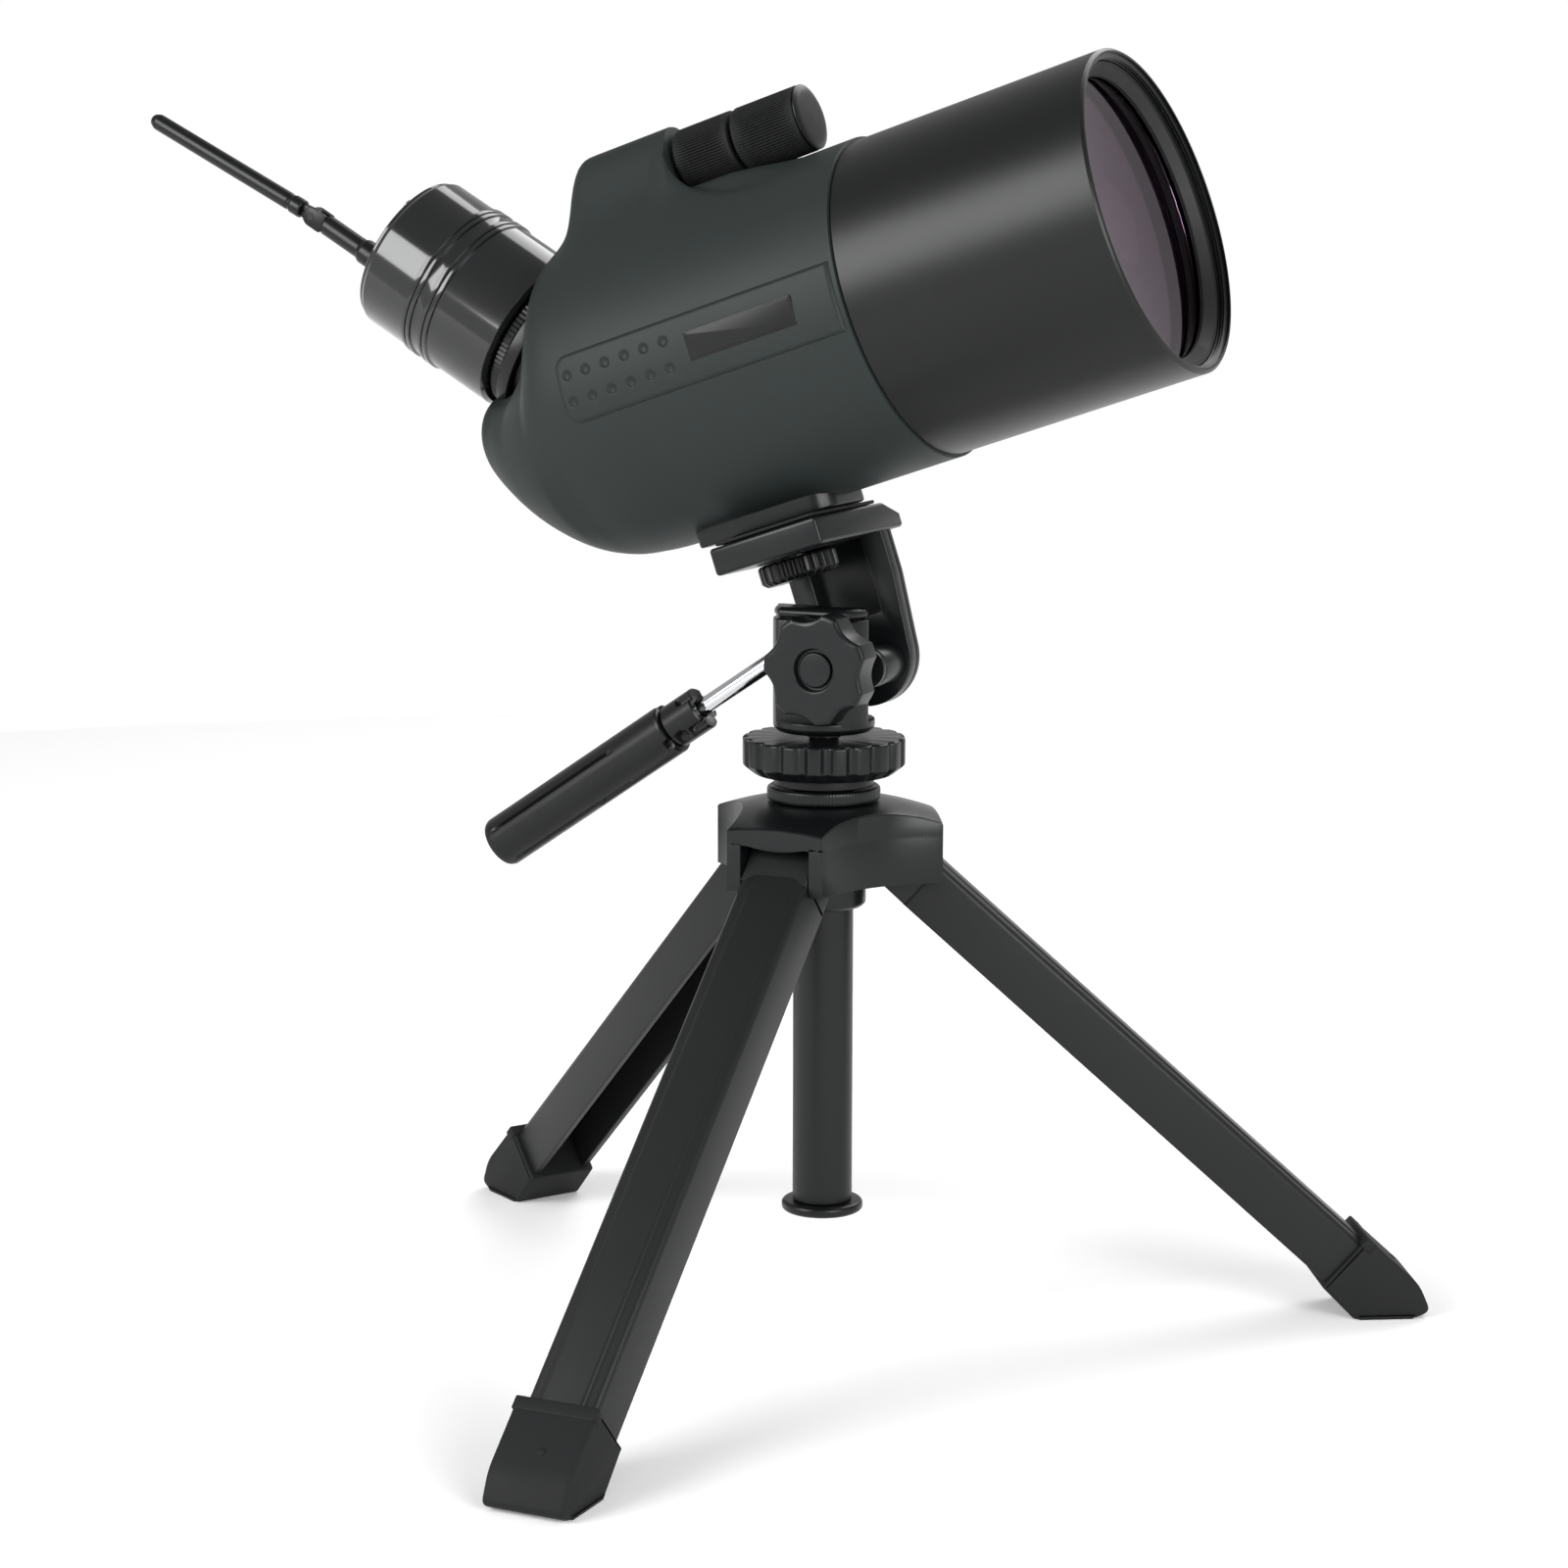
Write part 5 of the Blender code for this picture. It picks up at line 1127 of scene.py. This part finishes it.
class SCOPE_OT_handle(bpy.types.Operator):
    """Chromed pan handle with its split sleeve and fluted grip"""
    bl_idname = "scope.handle"
    bl_label = "Pan handle"

    def execute(self, context):
        low, high = HANDLE.reach("handle_rod")
        radius = high[0]
        line = softened([(0, low[2]), (radius - 0.4, low[2]), (radius, low[2] + 0.5),
                         (radius, high[2] - 0.3), (radius - 0.3, high[2]), (0, high[2])], 0.3, 4)
        shell = turn(Shell(), HANDLE, line, 64)
        shell_piece("pan_handle_rod", shell, "chrome", "handle", "chrome",
                    "handle_rod", angle=40)

        low, high = HANDLE.reach("grip_sleeve")
        wide = high[0]
        bore = radius + 0.3

        def petal(angle, size, height):
            """Four gaps at the mouth, and a round-ended hole on each side above them."""
            mouth = np.clip((low[2] + 4.6 - height) / 0.8, 0, 1)
            hole = np.clip(1.15 - np.abs(height - high[2] + 3.2) / 1.5, 0, 1)
            side = notched(angle, 2, 0.24, 0.75)
            return (1.5 * notched(angle, 4, 0.30) * mouth
                    + 1.6 * side * np.sqrt(hole)) * (size > bore + 1.5)

        rows = np.linspace(low[2] + 0.5, high[2] - 0.4, 26)
        wall = np.stack([np.full_like(rows, wide), rows], axis=1)
        line = np.vstack([[(bore, low[2] + 0.6), (bore + 1.2, low[2] + 0.1), (wide - 0.5, low[2])],
                          wall, [(wide - 0.4, high[2]), (bore, high[2])]])
        shell = turn(Shell(), HANDLE, line, 160, petal, closed=True)
        shell_piece("pan_handle_sleeve", shell, "abs", "handle", "black_abs",
                    "grip_sleeve", angle=35)

        low, high = HANDLE.reach("handle_grip")
        wide = high[0]
        start, end = low[2], high[2]

        def flute(angle, size, height):
            """Two slots near the mouth, four along the grip and three gaps at its end."""
            near = np.clip(np.minimum(height - start - 1.0, start + 30.0 - height) / 1.0, 0, 1)
            far = np.clip(np.minimum(height - start - 18.0, end - 4.0 - height) / 1.0, 0, 1)
            mouth = np.clip((start + 2.0 - height) / 0.5, 0, 1)
            depth = (1.1 * notched(angle, 2, 0.07, 0.9) * near
                     + 1.1 * notched(angle, 4, 0.13, 0.2) * far
                     + 1.7 * notched(angle, 3, 0.24, 0.3) * mouth)
            return depth * (size > wide - 1.6)

        rows = np.concatenate([np.linspace(start + 0.8, start + 3.2, 12),
                               np.linspace(start + 4.0, end - 1.2, 60)])
        wall = np.stack([np.full_like(rows, wide), rows], axis=1)
        line = np.vstack([[(0, start + 4), (bore, start + 4), (bore, start),
                           (wide - 0.9, start), (wide - 0.25, start + 0.25)],
                          wall, [(wide - 0.35, end - 0.35), (wide - 1.2, end), (0, end)]])
        shell = turn(Shell(), HANDLE, line, 360, flute)
        shell_piece("pan_handle_grip", shell, "abs", "handle", "black_abs",
                    "handle_grip", angle=35)
        return {"FINISHED"}


class SCOPE_OT_pan_wheel(bpy.types.Operator):
    """Fluted pan lock wheel and knurled column ring"""
    bl_idname = "scope.pan_wheel"
    bl_label = "Lock wheels"

    def execute(self, context):
        low, high = COLUMN.reach("pan_lock_wheel")
        radius = high[0]
        floor, roof = low[2], high[2]

        def flute(angle, size, height):
            """Flutes in the rim, running out just inside it."""
            depth = 1.4 * notched(angle, PAN_FLUTES, 0.52)
            return depth * np.clip((size - radius + 1.9) / 0.9, 0, 1)

        line = softened([(4.5, floor), (radius - 3.4, floor), (radius - 0.5, floor + 2.2),
                         (radius, floor + 2.7), (radius, roof - 0.5), (radius - 0.5, roof),
                         (4.5, roof)], 0.25, 4, closed=True)
        shell = turn(Shell(), COLUMN, line, PAN_FLUTES * 16, flute, closed=True)
        shell_piece("pan_wheel_fluted", shell, "nylon", "pan_wheel", "black_abs",
                    "pan_lock_wheel", angle=34)

        low, high = COLUMN.reach("column_lock_ring")
        radius = high[0]
        floor, roof = low[2], high[2]

        def knurl(angle, size, height):
            """Fine ridges round the ring's wall: 1 - cos(110 angle), faded at its edges."""
            band = np.clip(np.minimum(height - floor - 0.6, roof - 0.6 - height) / 0.2, 0, 1)
            return 0.07 * (1 - np.cos(angle * 110)) * band * (size > radius - 0.5)

        rows = np.linspace(floor + 0.9, roof - 0.9, 9)
        wall = np.stack([np.full_like(rows, radius), rows], axis=1)
        line = np.vstack([[(COLUMN_BORE, floor), (radius - 0.9, floor),
                           (radius - 0.2, floor + 0.4)],
                          wall, [(radius - 0.2, roof - 0.4), (radius - 0.9, roof),
                                 (radius - 1.6, roof - 0.25), (12.0, roof - 0.4),
                                 (COLUMN_BORE, roof - 0.4)]])
        shell = turn(Shell(), COLUMN, line, 440, knurl, closed=True)
        shell_piece("column_ring_knurled", shell, "nylon", "lock_ring", "black_abs",
                    "column_lock_ring", angle=38)
        return {"FINISHED"}


# ---- tripod -----------------------------------------------------------------------------
class SCOPE_OT_column(bpy.types.Operator):
    """Centre column with its neck, and the end cap below"""
    bl_idname = "scope.column"
    bl_label = "Centre column"

    def execute(self, context):
        low, high = COLUMN.reach("column_tube")
        neck = high[0]
        ring_top = COLUMN.reach("column_lock_ring")[1][2]
        wheel_low = COLUMN.reach("pan_lock_wheel")[0][2]
        radius = COLUMN.reach("column_end_cap")[1][0] - 3.0
        shoulder = ring_top + SEAM_GAP
        line = softened([(radius - 1.6, low[2]), (radius, low[2]), (radius, shoulder),
                         (neck, shoulder), (neck, wheel_low - 0.4), (4.0, wheel_low - 0.3),
                         (4.0, high[2]), (0, high[2])], 0.3, 4)
        line = np.vstack([[(0, shoulder - 4), (radius - 1.6, shoulder - 4)], line])
        shell = turn(Shell(), COLUMN, line, 96)
        shell_piece("column_tube_anodised", shell, "powder", "column",
                    "satin_black_metal", "column_tube", angle=35)
        low, high = COLUMN.reach("column_end_cap")
        wide = high[0]
        plug = radius - 1.9
        lip = low[2] + 2.9
        line = softened([(0, low[2]), (wide - 0.8, low[2]), (wide, low[2] + 0.7),
                         (wide, lip - 0.6), (wide - 0.6, lip), (plug, lip), (plug, high[2]),
                         (0, high[2])], 0.4, 4)
        shell = turn(Shell(), COLUMN, line, 96)
        shell_piece("column_end_cap_disc", shell, "abs", "column", "black_abs",
                    "column_end_cap", angle=35)
        return {"FINISHED"}


class SCOPE_OT_hub(bpy.types.Operator):
    """Tripod hub: domed crown, hollow sides and leg slots"""
    bl_idname = "scope.hub"
    bl_label = "Tripod hub"

    def execute(self, context):
        low, high = COLUMN.reach("hub")
        sleeve_floor = low[2]
        floor = sleeve_floor + HUB_SLEEVE_DROP
        direction = leg_place("one", 1).axes[1]
        azimuth = math.atan2(-direction[0], direction[1])
        slot_top = JOINTS["leg_one_fold"]["pos_m"][2] / MM + SLOT_ROOF
        shell = Shell()
        self.dome(shell, self.outline(azimuth), slot_top - HUB_OVERLAP, high[2])
        slab(shell, COLUMN, self.notched_outline(azimuth), floor, slot_top + HUB_OVERLAP, 0.1)
        sag = arc((0, slot_top + LINTEL_RADIUS - LINTEL_SAG), LINTEL_RADIUS,
                  270 - LINTEL_SPAN, 270 + LINTEL_SPAN, 16)
        arch = np.vstack([sag, [(SLOT_HALF - 0.1, slot_top + 0.6),
                                (0.1 - SLOT_HALF, slot_top + 0.6)]])
        for turn_by in range(3):
            middle = azimuth + turn_by * TURN / 3
            out = np.array([math.cos(middle), math.sin(middle), 0.0])
            lintel = Place(COLUMN.origin, np.cross(UP, out), out)
            slab(shell, lintel, arch, HUB_FACE - 3.2, HUB_FACE - 0.25, 0.3)
        line = softened([(COLUMN_BORE, sleeve_floor), (HUB_SLEEVE - 1, sleeve_floor),
                         (HUB_SLEEVE, sleeve_floor + 1), (HUB_SLEEVE, floor + 3),
                         (COLUMN_BORE, floor + 3)], 0.4, 4, closed=True)
        turn(shell, COLUMN, line, 72, closed=True)
        shell_piece("hub_casting", shell, "nylon", "hub", "black_abs", "hub",
                    angle=30)
        return {"FINISHED"}

    def turned(self, plan, angle):
        """Plan points turned about the column: x cos - y sin and x sin + y cos."""
        return np.stack([plan[:, 0] * math.cos(angle) - plan[:, 1] * math.sin(angle),
                         plan[:, 0] * math.sin(angle) + plan[:, 1] * math.cos(angle)], axis=1)

    def hollow_side(self, middle, share):
        """A circular arc through two corners and a point HUB_WAIST from the axis."""
        corner = math.hypot(HUB_FACE, HUB_HALF_FACE)
        half = TURN / 6 - math.atan2(HUB_HALF_FACE, HUB_FACE)
        chord = corner * math.sin(half)
        sag = corner * math.cos(half) - HUB_WAIST
        radius = (chord ** 2 + sag ** 2) / (2 * sag)
        swing = math.asin(chord / radius) * share
        plan = np.stack([HUB_WAIST + radius * (1 - np.cos(swing)), radius * np.sin(swing)],
                        axis=1)
        return self.turned(plan, middle)

    def around(self, azimuth, face, share):
        """A face's plan and the hollow side after it, three times round the column."""
        parts = []
        for turn_by in range(3):
            middle = azimuth + turn_by * TURN / 3
            parts += [self.turned(face, middle), self.hollow_side(middle + TURN / 6, share)]
        return np.vstack(parts)

    def outline(self, azimuth):
        """Flat corner faces joined by the hollow sides."""
        flat = np.linspace(-HUB_HALF_FACE, HUB_HALF_FACE, 10, endpoint=False)
        face = np.stack([np.full(10, HUB_FACE), flat], axis=1)
        return self.around(azimuth, face, np.linspace(-1, 1, 40, endpoint=False))

    def notched_outline(self, azimuth):
        """The same outline with a slot cut into each corner face."""
        ends = np.array([(HUB_FACE, -HUB_HALF_FACE), (HUB_FACE, -SLOT_HALF),
                         (SLOT_END, -SLOT_HALF), (SLOT_END, SLOT_HALF),
                         (HUB_FACE, SLOT_HALF), (HUB_FACE, HUB_HALF_FACE)])
        face = np.vstack([ends[i] + (ends[i + 1] - ends[i]) * s
                          for i in range(5) for s in ((0.0,), (0.5,), (0.97,))] + [ends[-1:]])
        return self.around(azimuth, face, np.linspace(-0.96, 0.96, 40))

    def dome(self, shell, outline, floor, crown):
        """The outline drawn in towards the axis while its top follows the domed crown."""
        share = np.concatenate([[1.0], np.linspace(1.0, 0.985, 3),
                                np.linspace(0.96, 0.3, 24)])
        flat = outline[None] * share[:, None, None]
        reach = np.linalg.norm(flat, axis=-1)
        fall = HUB_FALL / HUB_FALL_RUN ** 1.5
        height = crown - fall * np.maximum(reach - HUB_SEAT, 0) ** 1.5
        height[1] -= 0.35
        height[2] -= 0.1
        height[0] = floor
        rings = np.concatenate([flat, height[..., None]], axis=-1)
        skin(shell, COLUMN, rings)


class SCOPE_OT_legs(bpy.types.Operator):
    """Folding channel legs with stepped faces, and their rubber feet"""
    bl_idname = "scope.legs"
    bl_label = "Legs and feet"

    def execute(self, context):
        for number, word in ((1, "one"), (2, "two"), (3, "three")):
            self.leg(number, word)
        return {"FINISHED"}

    def leg(self, number, word):
        """A channel drawn along the leg, its rounded knuckle at the pin, and its foot."""
        place = leg_place(word, number)
        low, high = place.reach("leg_%d" % number)
        half = high[1]
        top, under = high[2], low[2]
        end = high[0]
        body = "leg_" + word
        shell = Shell()
        section = softened([(-half, under), (LEG_WALL - half, under),
                            (LEG_WALL - half, top - 2.8), (half - LEG_WALL, top - 2.8),
                            (half - LEG_WALL, under), (half, under),
                            (half, top - 2.0), (half - 1.0, top - 0.9), (half - 3.4, top - 0.7),
                            (half - 4.2, top), (-half + 4.2, top), (-half + 3.4, top - 0.7),
                            (-half + 1.0, top - 0.9), (-half, top - 2.0)],
                           [0.4, 0.4, 1, 1, 0.4, 0.4, 1.4, 0.8, 0.5, 0.5, 0.5, 0.5, 0.8, 1.4],
                           4, closed=True)
        along = Place(place.origin, place.axes[1], place.axes[0])
        slab(shell, along, section, LEG_START, end, 0.25)
        side = Place(place.origin, place.axes[0], -place.axes[1])
        knuckle = np.vstack([[(KNUCKLE_END, under), (KNUCKLE_END, top - 0.9)],
                             arc((0, 0), -under - 0.1, 80, 262, 26)])
        slab(shell, side, knuckle, -half, half, 0.8)
        shell_piece("leg_channel_%d" % number, shell, "powder", body, "leg_metal",
                    "leg_%d" % number, angle=35)
        corners = node_points("foot_%d" % number)
        local = place.local(corners)
        low, high = local.min(0), local.max(0)
        sole = local[corners[:, 2] < GROUND_TOLERANCE]
        heel = sole[np.argmin(sole[:, 0])]
        toe = sole[np.argmax(sole[:, 0])]
        wide = high[1]
        start = low[0]
        cap = softened([(start, under - 1.5), (heel[0], heel[2]), (toe[0], toe[2]),
                        (toe[0] + 1.6, toe[2] + 4.2), (toe[0] - 6, high[2]),
                        (start, high[2])], [0.6, 1.2, 2.0, 2.0, 3.0, 0.6], 6, closed=True)
        shell = Shell()
        slab(shell, side, cap, -wide, wide, 1.1, 6)
        back, front = heel[[0, 2]], toe[[0, 2]]
        ahead = (front - back) / np.linalg.norm(front - back)
        upward = np.array([place.axes[0][2], place.axes[2][2]])
        pad = np.array([back + 1.2 * ahead + 0.05 * upward, front - 1.0 * ahead + 0.05 * upward,
                        front - 0.2 * ahead + 1.5 * upward, back + 0.4 * ahead + 1.5 * upward])
        slab(shell, side, softened(pad, 0.4, 4, closed=True), -wide - 0.35, wide + 0.35, 0.5)
        brow = [(start - 0.3, high[2] - 3.0), (start + 3.4, high[2] - 3.0),
                (start + 3.4, high[2] + 0.25), (start - 0.3, high[2] + 0.25)]
        slab(shell, side, softened(brow, 0.5, 4, closed=True), -wide - 0.25, wide + 0.25, 0.5)
        stud = place.moved(x=toe[0] - 13.0, y=wide * 0.1)
        turn(shell, stud, [(0, high[2] - 0.6), (1.1, high[2] - 0.6), (1.1, high[2] + 0.15),
                           (0.8, high[2] + 0.3), (0, high[2] + 0.3)], 24)
        shell_piece("leg_foot_%d" % number, shell, "rubber", body, "black_rubber",
                    "foot_%d" % number, angle=35)


class SCOPE_OT_inner_parts(bpy.types.Operator):
    """Finishes of the pieces that stay as CAD solids inside the object"""
    bl_idname = "scope.inner_parts"
    bl_label = "Inner parts"

    def execute(self, context):
        dress("blackened", "secondary_baffle", "light_baffle", "prism_cage",
              "mirror_carrier")
        dress("silver", "primary_mirror")
        dress("glass", "erecting_prism", "camera_lens")
        dress("steel", "focus_spindle", "tilt_bolt", "camera_screw", "battery",
              "leg_pin_1", "leg_pin_2", "leg_pin_3")
        dress("brass", "foot_bush")
        dress("board", "sensor_board")
        return {"FINISHED"}


# ---- stage ------------------------------------------------------------------------------
class SCOPE_OT_stage(bpy.types.Operator):
    """Pale floor, soft studio light and the camera"""
    bl_idname = "scope.stage"
    bl_label = "Stage, light and camera"

    def execute(self, context):
        settings = context.scene.scope_stage
        scene = context.scene
        floor_mesh = bpy.data.meshes.new("floor")
        rim = np.arange(96) * TURN / 96
        disc = np.stack([np.cos(rim), np.sin(rim), np.zeros(96)], axis=1) * settings.floor_radius
        floor_mesh.from_pydata(disc.tolist(), [], [tuple(range(96))])
        floor = bpy.data.objects.new("floor", floor_mesh)
        scene.collection.objects.link(floor)
        paper, _, shader, _ = start_material("studio_paper", (0.95, 0.95, 0.95), 0.9)
        shader.inputs["Emission Color"].default_value = (1.0, 1.0, 1.0, 1.0)
        shader.inputs["Emission Strength"].default_value = settings.floor_glow
        floor_mesh.materials.append(paper)

        origin = np.array([COLUMN.origin[0], COLUMN.origin[1], 0.0])
        position = origin + np.array(CAMERA_OFFSET)
        azimuth, elevation = settings.azimuth, settings.elevation
        back = Vector((math.sin(azimuth) * math.cos(elevation),
                       -math.cos(azimuth) * math.cos(elevation), math.sin(elevation)))
        right = Vector((math.cos(azimuth), math.sin(azimuth), 0.0))
        up = back.cross(right)
        turn_matrix = Matrix((right, up, back)).transposed()
        roll = Matrix.Rotation(math.radians(CAMERA_ROLL), 3, "Z")
        data = bpy.data.cameras.new("product_camera")
        data.lens = settings.focal_length
        data.sensor_width = 36.0
        data.clip_start = 0.01
        data.clip_end = 60.0
        camera = bpy.data.objects.new("product_camera", data)
        camera.matrix_world = (Matrix.Translation(Vector(position))
                               @ (turn_matrix @ roll).to_4x4())
        scene.collection.objects.link(camera)
        scene.camera = camera

        world = bpy.data.worlds.new("studio_world")
        world.use_nodes = True
        tree = world.node_tree
        around = tree.nodes.new("ShaderNodeTexCoord")
        split = add(tree, "ShaderNodeSeparateXYZ", {"Vector": around.outputs["Generated"]})
        sky = add(tree, "ShaderNodeValToRGB", {"Fac": split.outputs["Z"]})
        ramp = sky.color_ramp
        for index, (at, grey) in enumerate(((0.05, 1.0), (0.16, settings.horizon_fall),
                                            (1.0, settings.ceiling))):
            stop = ramp.elements[index] if index < 2 else ramp.elements.new(at)
            stop.position = at
            stop.color = (grey, grey, grey, 1.0)
        tree.links.new(sky.outputs["Color"], tree.nodes["Background"].inputs["Color"])
        tree.nodes["Background"].inputs["Strength"].default_value = 1.0
        scene.world = world
        scene.view_settings.view_transform = "Standard"
        target = origin + np.array([-0.03, 0.0, 0.2])
        self.softbox("left_key", target + [-0.9, -1.5, 0.75], target, 1.0, settings.key_power)
        self.softbox("right_key", target + [1.5, -0.9, 0.5], target, 0.9,
                     settings.key_power * 0.7)
        self.softbox("rear_rim", target + [0.2, 1.4, 1.3], target, 1.2,
                     settings.key_power * 0.5)
        return {"FINISHED"}

    def softbox(self, name, position, target, size, power):
        """A square area light that faces the target."""
        data = bpy.data.lights.new(name, "AREA")
        data.shape = "SQUARE"
        data.size = size
        data.energy = power
        light = bpy.data.objects.new(name, data)
        aim = Vector(target) - Vector(position)
        light.matrix_world = (Matrix.Translation(Vector(position))
                              @ aim.to_track_quat("-Z", "Y").to_matrix().to_4x4())
        bpy.context.scene.collection.objects.link(light)


STEPS = (SCOPE_OT_front_tube, SCOPE_OT_body, SCOPE_OT_name_plates, SCOPE_OT_mount_foot,
         SCOPE_OT_focus, SCOPE_OT_eyepiece_camera, SCOPE_OT_button_and_antenna,
         SCOPE_OT_platform, SCOPE_OT_star_knob, SCOPE_OT_housing, SCOPE_OT_handle,
         SCOPE_OT_pan_wheel, SCOPE_OT_column, SCOPE_OT_hub, SCOPE_OT_legs,
         SCOPE_OT_inner_parts, SCOPE_OT_stage)


class SCOPE_PT_panel(bpy.types.Panel):
    """Lists the pieces in build order"""
    bl_idname = "SCOPE_PT_panel"
    bl_label = "Spotting scope"
    bl_space_type = "VIEW_3D"
    bl_region_type = "UI"
    bl_category = "Scope"

    def draw(self, context):
        for step in STEPS:
            self.layout.operator(step.bl_idname)


GROUPS = (("scope_finish", ScopeFinish), ("scope_sizes", ScopeSizes),
          ("scope_stage", StageSettings))


def register():
    """Register the settings, the operators and the panel."""
    for name, group in GROUPS:
        bpy.utils.register_class(group)
        setattr(bpy.types.Scene, name, PointerProperty(type=group))
    for item in STEPS + (SCOPE_PT_panel,):
        bpy.utils.register_class(item)


def unregister():
    """Take everything out again."""
    for item in (SCOPE_PT_panel,) + STEPS[::-1]:
        bpy.utils.unregister_class(item)
    for name, group in GROUPS:
        delattr(bpy.types.Scene, name)
        bpy.utils.unregister_class(group)


def main():
    """Build every piece."""
    register()
    for step in STEPS:
        category, action = step.bl_idname.split(".")
        getattr(getattr(bpy.ops, category), action)()


if __name__ == "__main__":
    main()
